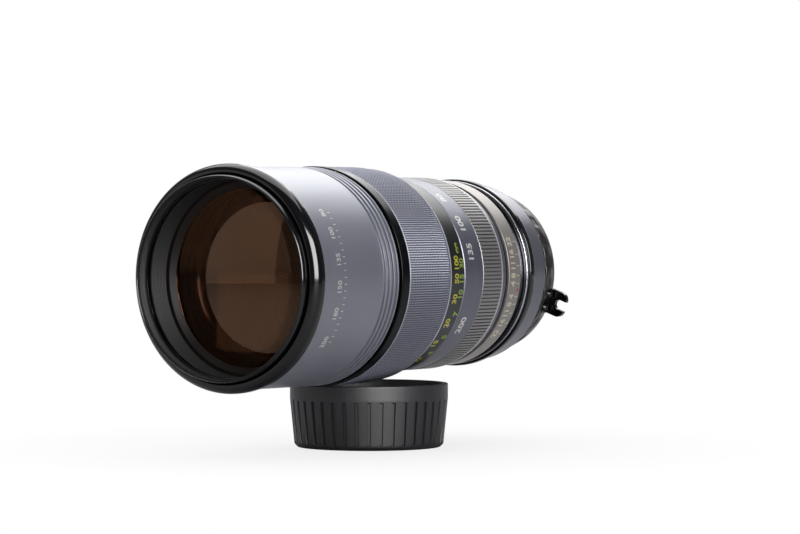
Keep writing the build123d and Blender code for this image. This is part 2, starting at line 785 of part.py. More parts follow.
blade_outer = IRIS_OPEN + BLADE_WIDTH
pivot_radius = blade_outer + PIVOT_OFFSET
rest_turn = BLADE_TURN * APERTURE_SET / (APERTURE_STOPS - 1)
arm_angle = rest_turn - BLADE_TURN / 2
arm_x = pivot_radius + ARM_LENGTH * cos(radians(arm_angle))
arm_z = ARM_LENGTH * sin(radians(arm_angle))
rotor_angle = degrees(asin(arm_z / hypot(arm_x, arm_z)))
drive_radius = hypot(arm_x, arm_z)
blade_pitch = BLADE_THICKNESS + BLADE_GAP
housing_front = index_front + IRIS_PLACE
stack_front = housing_front + IRIS_PLATE + BLADE_GAP
stack_rear = stack_front + BLADE_COUNT * blade_pitch
rotor_rear = stack_rear + BLADE_GAP + ROTOR_THICKNESS
rotor_radius = drive_radius + ROTOR_WIDTH / 2


def around(angle, x, z):
    """Point in the plane across the axis, turned by the angle."""
    turn = radians(angle)
    return (x * cos(turn) - z * sin(turn), x * sin(turn) + z * cos(turn))


def iris_blade(number):
    """One curved blade with its pivot pin to the front and its drive pin to the rear."""
    angle = spread(BLADE_COUNT)[number]
    front = stack_front + number * blade_pitch
    rear = front + BLADE_THICKNESS
    middle = (IRIS_OPEN + blade_outer) / 2
    curve = SlotArc(CenterArc((0, 0), middle, BLADE_TAIL, BLADE_SPAN), BLADE_WIDTH)
    swung = Pos(pivot_radius, 0) * Rot(0, 0, rest_turn) * Pos(-pivot_radius, 0)
    reach = pivot_radius - middle
    lug = Pos(middle + reach / 2, 0) * SlotCenterToCenter(reach, LUG_WIDTH)
    arm = Pos(pivot_radius, 0) * Rot(0, 0, arm_angle) * Pos(ARM_LENGTH / 2, 0) * SlotCenterToCenter(
        ARM_LENGTH, ARM_WIDTH)
    plate = facing(angle, rear) * extrude(swung * (curve + lug) + arm, BLADE_THICKNESS)
    pivot = axial_pin(around(angle, pivot_radius, 0), front - BLADE_GAP - IRIS_PLATE / 2
                      - number * blade_pitch, rear, IRIS_PIN_RADIUS)
    drive = axial_pin(around(angle, arm_x, arm_z), front,
                      rotor_rear - ROTOR_THICKNESS / 4, IRIS_PIN_RADIUS)
    return plate + pivot + drive


def iris_housing():
    """Cup that holds the blade pivots in its plate and the rotor in its wall."""
    radius = GUIDE_BORE - SEAT
    bore = rotor_radius + RUN
    plate_rear = housing_front + IRIS_PLATE
    rear = rotor_rear + SEAT
    housing = turned([
        (housing_front, IRIS_OPEN + SEAT), (housing_front, radius), (rear, radius), (rear, bore),
        (plate_rear, bore), (plate_rear, IRIS_OPEN + SEAT),
    ])
    depth = IRIS_PLATE / 2 + BLADE_GAP
    return housing - [
        axial_pin(around(angle, pivot_radius, 0), plate_rear - depth, plate_rear + OVERRUN / 2,
                  IRIS_PIN_RADIUS + SEAT)
        for angle in spread(BLADE_COUNT)]


def iris_rotor():
    """Slotted ring that swings all the blades together."""
    front = rotor_rear - ROTOR_THICKNESS
    ring = sleeve(front, rotor_rear, drive_radius - ROTOR_WIDTH / 2, rotor_radius)
    slot_length = 2 * (IRIS_PIN_RADIUS + SEAT) + FREE
    for angle in spread(BLADE_COUNT):
        slot = facing(angle + rotor_angle, rotor_rear + OVERRUN) * Pos(drive_radius, 0) * extrude(
            SlotOverall(slot_length, 2 * (IRIS_PIN_RADIUS + SEAT)), ROTOR_THICKNESS + 2 * OVERRUN)
        ring -= slot
    half_turn = degrees(FINGER_WIDTH / 2 / rotor_radius)
    ring += sector(rotor_rear, rotor_rear + FINGER_LENGTH, rotor_radius - ROTOR_THICKNESS,
                   rotor_radius, LEVER_ANGLE - half_turn, 2 * half_turn)
    return ring


# Rear barrel and mount

waist_radius = index_seat - BARREL_STEP
hold_bore = waist_radius - HOLD_WALL - SEAT
hold_seat = hold_bore - SEAT
rear_bore = rotor_radius + RUN + FREE + SEAT
ring_land = rear_bore + REAR_WALL
ring_bore = ring_land + RUN
flange_front = -FLANGE_THICKNESS
flange_radius = ring_land - SEAT
screw_circle = ring_land - SEAT - SEAT_FLANGE_WIDTH / 2 - REAR_WALL / 2
click_angle = INDEX_ANGLE + 180
click_station = aperture_front + APERTURE_LENGTH / 4


def rear_barrel():
    """Fixed barrel from the index ring to the mount."""
    step = housing_front + IRIS_ROOM
    ledge = flange_front - SEAT_FLANGE_LENGTH
    barrel = turned([
        (index_front, GUIDE_BORE), (index_front, index_seat), (index_rear, index_seat),
        (index_rear, waist_radius), (hold_front, waist_radius), (hold_front, hold_seat),
        (aperture_front - FREE, hold_seat), (aperture_front - FREE, ring_land),
        (flange_front, ring_land), (flange_front, ring_land - SEAT_FLANGE_WIDTH - REAR_WALL),
        (ledge, ring_land - SEAT_FLANGE_WIDTH - REAR_WALL), (ledge, rear_bore), (step, rear_bore),
        (step, GUIDE_BORE),
    ])
    for angle in spread(MOUNT_SCREW_COUNT, INDEX_ANGLE):
        place = around(angle, screw_circle, 0)
        barrel -= axial_pin(place, -SCREW_LENGTH - SEAT, OVERRUN, SCREW_RADIUS + SEAT)
    top = ring_land - RUN / 2
    bottom = top - 2 * BALL_RADIUS - CLICK_SPRING_LENGTH
    barrel -= radial_pin(click_angle, click_station, bottom - 2 * SEAT,
                         ring_land + OVERRUN, BALL_RADIUS + SEAT)
    return barrel


def click_ball():
    """Ball that clicks into the notches of the aperture ring."""
    centre = ring_land - RUN / 2 - BALL_RADIUS
    return outward(click_angle, click_station, centre) * Sphere(BALL_RADIUS)


def click_spring():
    """Short coil spring under the ball, as its sleeve."""
    top = ring_land - RUN / 2 - 2 * BALL_RADIUS - SEAT
    bottom = top - CLICK_SPRING_LENGTH + SEAT
    radius = BALL_RADIUS - SEAT
    return (radial_pin(click_angle, click_station, bottom, top, radius)
            - radial_pin(click_angle, click_station, bottom - SEAT, top + SEAT, radius - CLICK_SPRING_WALL))


def index_ring():
    """Satin ring with the index marks for focus, zoom and aperture."""
    ring = turned([
        (index_front, index_seat + SEAT), (index_front, index_radius), (index_rear, index_radius),
        (index_rear, index_seat + SEAT),
    ], [(1, LIP_ROUND), (2, LIP_ROUND)])
    return ring - radial_pin(INDEX_ANGLE, index_rear - DOT_EDGE, index_radius - DOT_DEPTH - SEAT,
                             index_radius + OVERRUN, DOT_RADIUS + SEAT)


def index_dot():
    """Round index mark let into the index ring."""
    return radial_pin(INDEX_ANGLE, index_rear - DOT_EDGE, index_radius - DOT_DEPTH,
                      index_radius - SEAT, DOT_RADIUS)


def trim_ring():
    """Thin bright ring."""
    return turned([
        (trim_front, waist_radius + SEAT), (trim_front, waist_radius + TRIM_RISE),
        (trim_rear, waist_radius + TRIM_RISE), (trim_rear, waist_radius + SEAT),
    ], [(1, LIP_ROUND), (2, LIP_ROUND)])


def hold_ring():
    """Fixed rounded ring to hold the lens by when it is mounted."""
    radius = hold_bore + HOLD_WALL
    return turned([
        (hold_front + SEAT, hold_bore), (hold_front + SEAT, radius), (hold_rear, radius),
        (hold_rear, hold_bore),
    ], [(1, LIP_ROUND), (2, HOLD_WALL - SEAT)])


fork_seat = ring_bore + (APERTURE_FRONT_WALL + APERTURE_REAR_WALL) / 2 - FOOT_THICKNESS / 2
fork_rear = aperture_rear - SEAT
fork_front = fork_rear - FORK_THICKNESS
foot_front = fork_front - FOOT_LENGTH


def fork_screw_places():
    """Offsets of the fork screws to either side of its middle."""
    return (-FORK_SCREW_SPACING / 2, FORK_SCREW_SPACING / 2)


def aperture_ring():
    """Ring with scalloped grips, click notches and a flat for the meter fork."""
    front_radius = ring_bore + APERTURE_FRONT_WALL
    rear_radius = ring_bore + APERTURE_REAR_WALL
    ring = turned([
        (aperture_front, ring_bore), (aperture_front, front_radius),
        (aperture_front + SCALLOP_LENGTH, front_radius), (aperture_rear, rear_radius),
        (aperture_rear, ring_bore),
    ], [(1, APERTURE_CHAMFER)])
    base = (Align.CENTER, Align.CENTER, Align.MIN)
    cutter = Plane(origin=(front_radius - SCALLOP_DEPTH + SCALLOP_RADIUS, aperture_front - OVERRUN, 0),
                   z_dir=(0, 1, 0)) * Cylinder(SCALLOP_RADIUS, SCALLOP_LENGTH + OVERRUN, align=base)
    ring = ribbed(ring, cutter, SCALLOP_COUNT)
    flat = Box(FOOT_LENGTH + FORK_THICKNESS + OVERRUN, 2 * FORK_WIDTH, front_radius,
               align=(Align.MIN, Align.CENTER, Align.MIN))
    ring -= outward(FORK_ANGLE, foot_front - SEAT, fork_seat) * flat
    for offset in fork_screw_places():
        seat = outward(FORK_ANGLE, foot_front + FOOT_LENGTH / 2, fork_seat)
        ring -= seat * Pos(0, offset, 0) * Cylinder(
            FORK_SCREW_RADIUS + SEAT, 2 * (FORK_SCREW_LENGTH - FOOT_THICKNESS + SEAT))
    for number in range(APERTURE_STOPS):
        angle = click_angle - (number - APERTURE_SET) * APERTURE_STOP
        ring -= outward(angle, click_station, ring_bore - BALL_RADIUS / 2) * Sphere(BALL_RADIUS)
    return ring


def meter_fork():
    """Two-pronged fork that turns the camera's meter ring, on a foot screwed to the ring."""
    base = (Align.CENTER, Align.MIN)
    plate = Rectangle(FORK_WIDTH, FORK_HEIGHT, align=base)
    corners = plate.vertices().sort_by(Axis.Y)[-2:]
    plate = fillet(corners, FORK_ROUND)
    slot_floor = FORK_SLOT_FLOOR + FORK_SLOT_RADIUS
    plate -= Pos(0, slot_floor) * Circle(FORK_SLOT_RADIUS)
    plate -= Pos(0, slot_floor) * Rectangle(2 * FORK_SLOT_RADIUS, FORK_HEIGHT, align=base)
    turn = radians(FORK_ANGLE)
    seat = fork_seat + SEAT
    stand = Plane(origin=(seat * cos(turn), fork_front, seat * sin(turn)),
                  x_dir=(-sin(turn), 0, cos(turn)), z_dir=(0, 1, 0))
    prongs = stand * extrude(plate, FORK_THICKNESS)
    foot = Box(FOOT_LENGTH + FORK_THICKNESS / 2, FORK_WIDTH, FOOT_THICKNESS,
               align=(Align.MIN, Align.CENTER, Align.MIN))
    fork = prongs + outward(FORK_ANGLE, foot_front, seat) * foot
    for offset in fork_screw_places():
        hole = outward(FORK_ANGLE, foot_front + FOOT_LENGTH / 2, seat) * Pos(0, offset, 0)
        fork -= hole * Cylinder(FORK_SCREW_RADIUS + SEAT, 2 * FOOT_THICKNESS + OVERRUN)
    return fork


def fork_screws():
    """Two small screws through the fork's foot."""
    screws = []
    base = (Align.CENTER, Align.CENTER, Align.MIN)
    top = fork_seat + FOOT_THICKNESS + 2 * SEAT
    for offset in fork_screw_places():
        seat = outward(FORK_ANGLE, foot_front + FOOT_LENGTH / 2, top) * Pos(0, offset, 0)
        head = Cylinder(FORK_HEAD_RADIUS, FORK_HEAD_HEIGHT, align=base)
        shank = Pos(0, 0, -FORK_SCREW_LENGTH) * Cylinder(FORK_SCREW_RADIUS, FORK_SCREW_LENGTH, align=base)
        screws.append(seat * (head + shank))
    return screws


def mount_flange():
    """Bayonet mount: flange, register and three tabs."""
    bore = REGISTER_RADIUS - REGISTER_WALL
    end = REGISTER_GAP + TAB_THICKNESS + REGISTER_END
    relief = REGISTER_RADIUS + RELIEF_WIDTH
    flange = turned([
        (flange_front, bore), (flange_front, flange_radius), (0, flange_radius), (0, relief),
        (-RELIEF_DEPTH, relief), (-RELIEF_DEPTH, REGISTER_RADIUS), (end, REGISTER_RADIUS), (end, bore),
    ])
    for angle in spread(TAB_COUNT, TAB_START_ANGLE):
        flange += sector(REGISTER_GAP, REGISTER_GAP + TAB_THICKNESS, REGISTER_RADIUS - SEAT,
                         REGISTER_RADIUS + TAB_RISE, angle - TAB_SPAN / 2, TAB_SPAN)
    for angle in spread(MOUNT_SCREW_COUNT, INDEX_ANGLE):
        place = around(angle, screw_circle, 0)
        flange -= axial_pin(place, flange_front - OVERRUN, OVERRUN, SCREW_RADIUS + SEAT)
        flange -= axial_pin(place, -SCREW_HEAD_LENGTH - SEAT, OVERRUN, SCREW_HEAD_RADIUS + SEAT)
    return flange


def mount_screws():
    """Slotted screws that hold the mount flange."""
    screws = []
    for angle in spread(MOUNT_SCREW_COUNT, INDEX_ANGLE):
        place = around(angle, screw_circle, 0)
        screw = axial_pin(place, -SCREW_LENGTH, -SCREW_HEAD_LENGTH / 2, SCREW_RADIUS)
        screw += axial_pin(place, -SCREW_HEAD_LENGTH, -SEAT, SCREW_HEAD_RADIUS)
        slot = Box(2 * SCREW_HEAD_RADIUS + OVERRUN, 2 * SLOT_DEPTH, SLOT_WIDTH)
        screws.append(screw - Pos(place[0], -SEAT, place[1]) * slot)
    return screws


neck_radius = REAR_NECK_BORE + REAR_CELL_WALL


def rear_cell():
    """Stepped cell of the rear elements, with a neck through the mount."""
    front = -REAR_CELL_PLACE
    wide = REAR_CELL_BORE + REAR_CELL_WALL
    radius = rear_bore - SEAT
    waist = front + REAR_CELL_WAIST
    spring_place = -LEVER_PLACE - LEVER_THICKNESS - 4 * SPRING_WIRE - FREE
    return turned([
        (front, REAR_CELL_BORE), (front, radius), (front + REAR_CELL_FLANGE, radius),
        (front + REAR_CELL_FLANGE, wide), (waist, wide), (spring_place, neck_radius),
        (-REAR_NECK_END, neck_radius), (-REAR_NECK_END, REAR_NECK_BORE), (waist, REAR_NECK_BORE),
        (waist, REAR_CELL_BORE),
    ])


def rear_element_front():
    """Larger rear element."""
    front = -REAR_CELL_PLACE + REAR_CELL_FLANGE
    return glass(front, REAR_CELL_BORE - SEAT, REAR_CURVES[0], REAR_THICKNESSES[0])


rear_retainer_front = -REAR_NECK_END - REAR_RETAINER_LENGTH


def rear_element_rear():
    """Last element, which shows through the mount."""
    edge = REAR_NECK_BORE - SEAT
    inner = edge - REAR_RETAINER_WIDTH
    rear = rear_retainer_front - sag(inner, REAR_CURVES[1][1]) - FREE
    return glass(rear - REAR_THICKNESSES[1], edge, REAR_CURVES[1], REAR_THICKNESSES[1])


def rear_retaining_ring():
    """Ring behind the last element."""
    radius = REAR_NECK_BORE - SEAT
    return sleeve(rear_retainer_front, -REAR_NECK_END, radius - REAR_RETAINER_WIDTH, radius)


def stop_down_lever():
    """Ring that turns on the neck, with the lever that the camera pushes."""
    front = -LEVER_PLACE - LEVER_THICKNESS
    bore = neck_radius + RUN
    radius = bore + LEVER_WIDTH
    ring = sleeve(front, -LEVER_PLACE, bore, radius)
    half_turn = degrees(LEVER_FINGER_WIDTH / 2 / radius)
    return ring + sector(-LEVER_PLACE - LEVER_THICKNESS, LEVER_TIP, bore + FREE,
                         bore + FREE + LEVER_FINGER_THICKNESS, LEVER_ANGLE - half_turn, 2 * half_turn)


def lever_spring():
    """Open turn of spring wire round the neck, which brings the lever back."""
    station = -LEVER_PLACE - LEVER_THICKNESS - 2 * SPRING_WIRE
    radius = neck_radius + SPRING_WIRE + FREE
    wire = Plane.XY * Pos(radius, station) * Circle(SPRING_WIRE)
    return revolve(wire, Axis.Y, revolution_arc=SPRING_SPAN)


# Rear cap

cap_rim = -(grip_radius + FREE)
cap_floor = cap_rim - CAP_HEIGHT


def rear_cap():
    """Cup with ribs outside and three claws inside, open side up."""
    wall_rim = CAP_RADIUS - CAP_WALL
    wall_foot = CAP_FOOT_RADIUS - CAP_WALL
    outline = make_face(Polyline([
        (0, 0), (CAP_FOOT_RADIUS - CAP_CHAMFER, 0), (CAP_FOOT_RADIUS, CAP_CHAMFER),
        (CAP_RADIUS, CAP_HEIGHT - CAP_BAND), (CAP_RADIUS, CAP_HEIGHT), (wall_rim, CAP_HEIGHT),
        (wall_foot, CAP_BASE), (0, CAP_BASE),
    ], close=True))
    cup = revolve(Plane.XZ * outline, Axis.Z)
    ring_outer = REGISTER_RADIUS + TAB_RISE + CLAW_WIDTH
    base = (Align.CENTER, Align.CENTER, Align.MIN)
    ring = Cylinder(ring_outer, CAP_HEIGHT - CLAW_DEPTH, align=base) - Cylinder(
        ring_outer - CAP_RING_WALL, CAP_HEIGHT, align=base)
    cup += ring
    lean = degrees((CAP_RADIUS - CAP_FOOT_RADIUS) / (CAP_HEIGHT - CAP_BAND - CAP_CHAMFER))
    slot = Pos(CAP_FOOT_RADIUS - CAP_SLOT_DEPTH, 0, CAP_CHAMFER) * Rot(0, lean, 0) * Box(
        CAP_SLOT_DEPTH + OVERRUN, CAP_SLOT_WIDTH, CAP_HEIGHT - CAP_BAND - 2 * CAP_CHAMFER,
        align=(Align.MIN, Align.CENTER, Align.MIN))
    cup -= [Rot(0, 0, angle) * slot for angle in spread(CAP_RIB_COUNT)]
    claw_inner = ring_outer - CAP_RING_WALL - CLAW_WIDTH
    for angle in spread(CLAW_COUNT, CLAW_SPAN):
        claw = make_face(Polyline([
            (claw_inner, CAP_HEIGHT - CLAW_DEPTH - CLAW_THICKNESS),
            (ring_outer - SEAT, CAP_HEIGHT - CLAW_DEPTH - CLAW_THICKNESS),
            (ring_outer - SEAT, CAP_HEIGHT - CLAW_DEPTH), (claw_inner, CAP_HEIGHT - CLAW_DEPTH),
        ], close=True))
        cup += Rot(0, 0, angle) * revolve(Plane.XZ * claw, Axis.Z, revolution_arc=CLAW_SPAN)
    return Pos(0, -CAP_PLACE, cap_floor) * cup


PIECES = [
    filter_ring, front_bezel, front_barrel, front_cell, front_retaining_ring,
    front_element_crown, front_element_flint, front_spacer, front_element_inner, helicoid_tube,
    focus_ring, focus_grip, distance_scale_ring, scale_screws,
    main_barrel, focus_stop_screw, guide_keys, guide_tube, cam_sleeve,
    zoom_ring, zoom_grip, zoom_key,
    variator_cell, variator_pins, variator_element_front, variator_element_rear,
    compensator_cell, compensator_pins, compensator_element, relay_cell, relay_element,
    iris_housing, iris_rotor, rear_barrel, click_ball, click_spring, index_ring, index_dot,
    trim_ring, hold_ring, aperture_ring, meter_fork, fork_screws, mount_flange, mount_screws,
    rear_cell, rear_element_front, rear_element_rear, rear_retaining_ring, stop_down_lever,
    lever_spring, rear_cap,
]


def write(name, shape):
    """One STEP file for a piece, which may be several separate solids."""
    solids = []
    for item in shape if isinstance(shape, list) else [shape]:
        solids += item.solids()
    whole = solids[0] if len(solids) == 1 else Compound(children=solids)
    export_step(whole, f"parts/{name}.step")
    print(f"{name}: {len(solids)} solids, {sum(solid.volume for solid in solids):.0f} mm3")


os.makedirs("parts", exist_ok=True)
for piece in PIECES:
    write(piece.__name__, piece())
for number in range(BLADE_COUNT):
    write(f"iris_blade_{number + 1}", iris_blade(number))
print(f"front lip at {lip_front:.2f}, cap floor at {cap_floor:.2f}, grip radius {grip_radius:.2f}")
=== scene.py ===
# %% [markdown]
# # A camera zoom lens, dressed for its portrait
#
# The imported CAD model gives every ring, tube and lens element its real size and its joint. This
# notebook gives the lens its looks. The rings that show are made again as smooth turned
# surfaces, because the CAD meshes are only as fine as the motion needs. The numerals, the knurl
# and the fine ribs are cut on the way, and each finish is a procedural material.

# %% The frame
import json
import math
import bmesh
import bpy
import numpy as np
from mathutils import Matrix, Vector


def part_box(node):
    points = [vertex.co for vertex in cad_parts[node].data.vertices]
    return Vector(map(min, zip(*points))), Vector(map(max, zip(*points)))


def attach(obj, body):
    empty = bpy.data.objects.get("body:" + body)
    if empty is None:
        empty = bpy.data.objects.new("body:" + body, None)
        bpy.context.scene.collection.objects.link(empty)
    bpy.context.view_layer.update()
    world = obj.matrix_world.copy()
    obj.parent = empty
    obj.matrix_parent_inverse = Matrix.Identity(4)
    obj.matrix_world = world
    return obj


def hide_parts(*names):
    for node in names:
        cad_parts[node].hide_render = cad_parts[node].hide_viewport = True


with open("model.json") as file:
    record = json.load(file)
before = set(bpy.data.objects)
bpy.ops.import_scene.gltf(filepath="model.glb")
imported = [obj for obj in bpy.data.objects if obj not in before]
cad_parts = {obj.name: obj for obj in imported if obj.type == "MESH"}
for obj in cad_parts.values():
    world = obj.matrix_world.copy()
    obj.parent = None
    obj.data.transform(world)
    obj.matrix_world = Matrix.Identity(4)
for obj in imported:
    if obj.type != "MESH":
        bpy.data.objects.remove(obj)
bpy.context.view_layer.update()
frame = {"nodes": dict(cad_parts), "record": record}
MM = 0.001

# %% [markdown]
# ## The camera
#
# The photograph looks at the lens from the front left of its own axis, almost level with it. The
# camera's place came from fitting the rims of the rings, which are circles, to the ellipses in the
# picture. A long focal length keeps the far rings nearly as large as the near ones.

# %% Camera
VIEW_AZIMUTH, VIEW_DROP, FOCAL_LENGTH, SENSOR_WIDTH = 34.01, 0.983, 158.64, 36.0


def add_object(name, data):
    """Puts a mesh, a lamp or a camera in the scene."""
    thing = bpy.data.objects.new(name, data)
    bpy.context.scene.collection.objects.link(thing)
    return thing


camera_data = bpy.data.cameras.new("camera")
camera_data.sensor_width, camera_data.lens = SENSOR_WIDTH, FOCAL_LENGTH
camera = add_object("camera", camera_data)
camera.location = (0.79827, -1.24984, 0.02728)
camera.rotation_euler = (math.radians(90 - VIEW_DROP), 0, math.radians(VIEW_AZIMUTH))
bpy.context.scene.camera = camera
print("camera at", [round(value, 3) for value in camera.location])

# %% [markdown]
# ## Where the CAD says things are
#
# Almost every piece of a lens is turned about the optical axis, here the Y axis with the front
# towards -Y. A place on such a piece is a station along the axis and a radius. Both are read from
# the CAD node's box, so the looks follow the model if a size changes there.

# %% Stations and radii
def extent(node):
    """Front station, rear station and outer radius of a turned CAD node, in millimetres."""
    low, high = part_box(node)
    return low[1] / MM, high[1] / MM, max(high[0], high[2]) / MM


for node in ("filter_ring", "front_barrel", "zoom_ring", "aperture_ring"):
    print(node, [round(value, 2) for value in extent(node)])


# %% [markdown]
# ## Surfaces as arrays
#
# A turned ring is a closed outline carried round the axis. The outline's corners are replaced by
# short curves, because no real edge is sharp: the curve is what catches the light. Each curve has
# a support point on the straight line next to it, which keeps the shading of the flat true.

# %% Rounded outline
SEGMENTS = 288


def rounded(corners, cut=0.2, steps=4):
    """Closed outline with a quadratic curve at each corner.

    The curve is (1-t)^2 A + 2t(1-t) C + t^2 B, where C is the corner and A and B lie on its two
    edges, one cut away. One more point a little further out on each edge holds the flat.
    """
    corner = np.array(corners, float)
    edges = np.stack([np.roll(corner, 1, axis=0), np.roll(corner, -1, axis=0)]) - corner
    lengths = np.linalg.norm(edges, axis=2)
    size = np.minimum(cut, 0.3 * lengths.min(axis=0))
    before, after = edges * (size / lengths)[:, :, None]
    t = np.linspace(0, 1, steps + 1)[None, :, None]
    start, end, middle = (corner + before)[:, None], (corner + after)[:, None], corner[:, None]
    curve = (1 - t) ** 2 * start + 2 * t * (1 - t) * middle + t ** 2 * end
    hold_in, hold_out = (corner + 1.5 * before)[:, None], (corner + 1.5 * after)[:, None]
    return np.concatenate([hold_in, curve, hold_out], axis=1).reshape(-1, 2)


# %% Grid and revolution
def grid_faces(rows, columns, close_rows=True):
    """Quads (i, j), (i+1, j), (i+1, j+1), (i, j+1) of a grid whose columns meet round the axis."""
    i = np.arange(rows if close_rows else rows - 1)[:, None]
    j = np.arange(columns)[None, :]
    below, beside = (i + 1) % rows, (j + 1) % columns
    corners = np.broadcast_arrays(i * columns + j, below * columns + j,
                                  below * columns + beside, i * columns + beside)
    return np.stack(corners, axis=-1).reshape(-1, 4)


def round_axis(station, radius, turn):
    """Points x = r cos a, y = station, z = r sin a, for every row and column."""
    station, radius, turn = np.broadcast_arrays(station, radius, turn)
    return np.stack([radius * np.cos(turn), station, radius * np.sin(turn)], axis=-1).reshape(-1, 3)


def turns(count=SEGMENTS):
    """Equal angles round the axis."""
    return np.linspace(0, 2 * np.pi, count, endpoint=False)[None, :]


def repeated(count, phases, pattern):
    """Angles at the phases of each of the equal parts of a turn, and the pattern's values there."""
    angles = (np.arange(count)[:, None] + phases) / count * 2 * np.pi
    return angles.reshape(1, -1), np.tile(pattern, count)[None, :]


# %% Mesh to object
def add_piece(name, points, faces, body, slot, replaces=(), finish=None, crease=38, relief=None):
    """Puts the arrays in a mesh, shades it and ties it to its CAD body and material slot."""
    mesh = bpy.data.meshes.new(name)
    faces = faces if isinstance(faces, list) else faces.tolist()
    mesh.from_pydata((points * MM).tolist(), [], faces)
    if relief is not None:
        layer = mesh.attributes.new("relief", "FLOAT", "POINT")
        layer.data.foreach_set("value", np.asarray(relief, dtype=np.float32).ravel())
    mesh.materials.append(finishes[finish or slot])
    mesh.shade_smooth()
    mesh.set_sharp_from_angle(angle=math.radians(crease))
    piece = add_object(name, mesh)
    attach(piece, body)
    if replaces:
        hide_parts(*replaces)
    print(name, len(mesh.vertices), "points", len(mesh.polygons), "faces")
    return piece


def worn_relief(outline, highlights):
    """Relief of an outline: 1 on the plain surface, rising to 2 at each painted highlight (station,
    radius, reach), as 1 + max(0, 1 - distance / reach)."""
    relief = np.ones(len(outline))
    for station, radius, reach in highlights:
        away = np.hypot(outline[:, 0] - station, outline[:, 1] - radius)
        relief = np.maximum(relief, 1 + np.clip(1 - away / reach, 0, 1))
    return np.repeat(relief[:, None], SEGMENTS, axis=1)


def band(front, rear, inner, outer):
    """Corners of a plain ring, from its front inner corner."""
    return [(front, inner), (front, outer), (rear, outer), (rear, inner)]


def taper(front, rear, front_radius, rear_radius):
    """Radius of a straight cone as a function of the station."""
    def radius(station):
        share = (station - front) / (rear - front)
        return front_radius + (rear_radius - front_radius) * share
    return radius


def add_turned(node, corners, body, slot, cut=0.2, finish=None, steps=4, highlights=()):
    """Ring from a closed outline: front inner corner first, then outward and to the rear. It
    replaces the CAD node of its name, if there is one."""
    outline = rounded(corners, cut, steps)
    points = round_axis(outline[:, :1], outline[:, 1:], turns())
    faces = grid_faces(len(outline), SEGMENTS)
    replaced = [node] if node in frame["nodes"] else ()
    return add_piece(node + "_turned", points, faces, body, slot, replaced, finish,
                     relief=worn_relief(outline, highlights))


# %% [markdown]
# ## Finishes
#
# The lens has a small family of finishes: glossy black enamel, blue-grey satin paint, anodised
# and polished metal, blackened metal, coated glass and moulded plastic. They share three effects,
# each a node group: a fine speckle, the concentric lines that a lathe leaves, and a little dust.
# All three read Object coordinates, so they stay on the metal whatever the view.

# %% Colours
def ink(red, green, blue):
    """Linear colour from the 0-255 values a picture editor shows."""
    value = np.array([red, green, blue]) / 255
    linear = np.where(value <= 0.04045, value / 12.92, ((value + 0.055) / 1.055) ** 2.4)
    return (*[float(part) for part in linear], 1.0)


print("middle grey is", round(ink(128, 128, 128)[0], 3), "in linear light")

# %% [markdown]
# ### Nodes in few words
#
# A material is a small network of nodes. Five helpers keep the networks below readable. They fill
# a node's inputs, add a node, calculate, mix two colours, and start a group.


# %% Node helpers
def feed(tree, node, inputs):
    """Fills inputs by name or number: another node's output is linked, a plain value is set."""
    for key, value in inputs.items():
        if isinstance(value, bpy.types.NodeSocket):
            tree.links.new(value, node.inputs[key])
        else:
            node.inputs[key].default_value = value


def add_node(tree, kind, inputs, **options):
    """Adds a node, sets its options and feeds its inputs."""
    node = tree.nodes.new("ShaderNode" + kind)
    for option, choice in options.items():
        setattr(node, option, choice)
    feed(tree, node, inputs)
    return node


def calculate(tree, operation, *values):
    """Result of a Math node."""
    return add_node(tree, "Math", dict(enumerate(values)), operation=operation).outputs[0]


def mix_colours(tree, factor, first, second):
    """Colour (1 - factor) first + factor second. Inputs 6 and 7 and output 2 are colours."""
    return add_node(tree, "Mix", {"Factor": factor, 6: first, 7: second},
                    data_type="RGBA").outputs[2]


def new_group(name, inputs, outputs):
    """Node group with named sockets; returns it with its inner inputs and its output node."""
    group = bpy.data.node_groups.new(name, "ShaderNodeTree")
    for label, kind, default in inputs:
        socket = group.interface.new_socket(label, in_out="INPUT", socket_type=kind)
        socket.default_value = default
    for label, kind in outputs:
        group.interface.new_socket(label, in_out="OUTPUT", socket_type=kind)
    start, end = group.nodes.new("NodeGroupInput"), group.nodes.new("NodeGroupOutput")
    return group, start.outputs, end


# %% [markdown]
# ### Speckle
#
# Satin paint and anodising aren't one flat tone. Two noises, one the size of a grain and one the
# size of a thumb, move the colour a little and the roughness with it.

# %% Speckle group
COLOR, FLOAT = "NodeSocketColor", "NodeSocketFloat"
MIDDLE_GREY = (0.5, 0.5, 0.5, 1)
THUMB_SCALE, GRAIN_SHARE = 60.0, 0.65
speckle, given, end = new_group(
    "speckle", [("Colour", COLOR, MIDDLE_GREY), ("Grain", FLOAT, 2500.0),
                ("Contrast", FLOAT, 0.2), ("Roughness", FLOAT, 0.4)],
    [("Colour", COLOR), ("Roughness", FLOAT), ("Height", FLOAT)])
place = add_node(speckle, "TexCoord", {}).outputs["Object"]
fine = add_node(speckle, "TexNoise", {"Vector": place, "Scale": given["Grain"], "Detail": 3.0})
broad = add_node(speckle, "TexNoise", {"Vector": place, "Scale": THUMB_SCALE})
thumb = calculate(speckle, "MULTIPLY", broad.outputs["Fac"], 1 - GRAIN_SHARE)
height = calculate(speckle, "MULTIPLY_ADD", fine.outputs["Fac"], GRAIN_SHARE, thumb)
centred = calculate(speckle, "SUBTRACT", height, 0.5)
swing = calculate(speckle, "MULTIPLY_ADD", centred, given["Contrast"], 1.0)
tone = add_node(speckle, "VectorMath", {0: given["Colour"], "Scale": swing}, operation="SCALE")
rough = calculate(speckle, "MULTIPLY", swing, given["Roughness"])
feed(speckle, end, {"Colour": tone.outputs[0], "Roughness": rough, "Height": height})
print("group", speckle.name, "nodes", len(speckle.nodes))

# %% [markdown]
# ### Lathe lines
#
# A turned surface keeps faint rings round its axis. The pattern is a noise that only knows the
# station and the radius of a point, so it can't change round the axis.

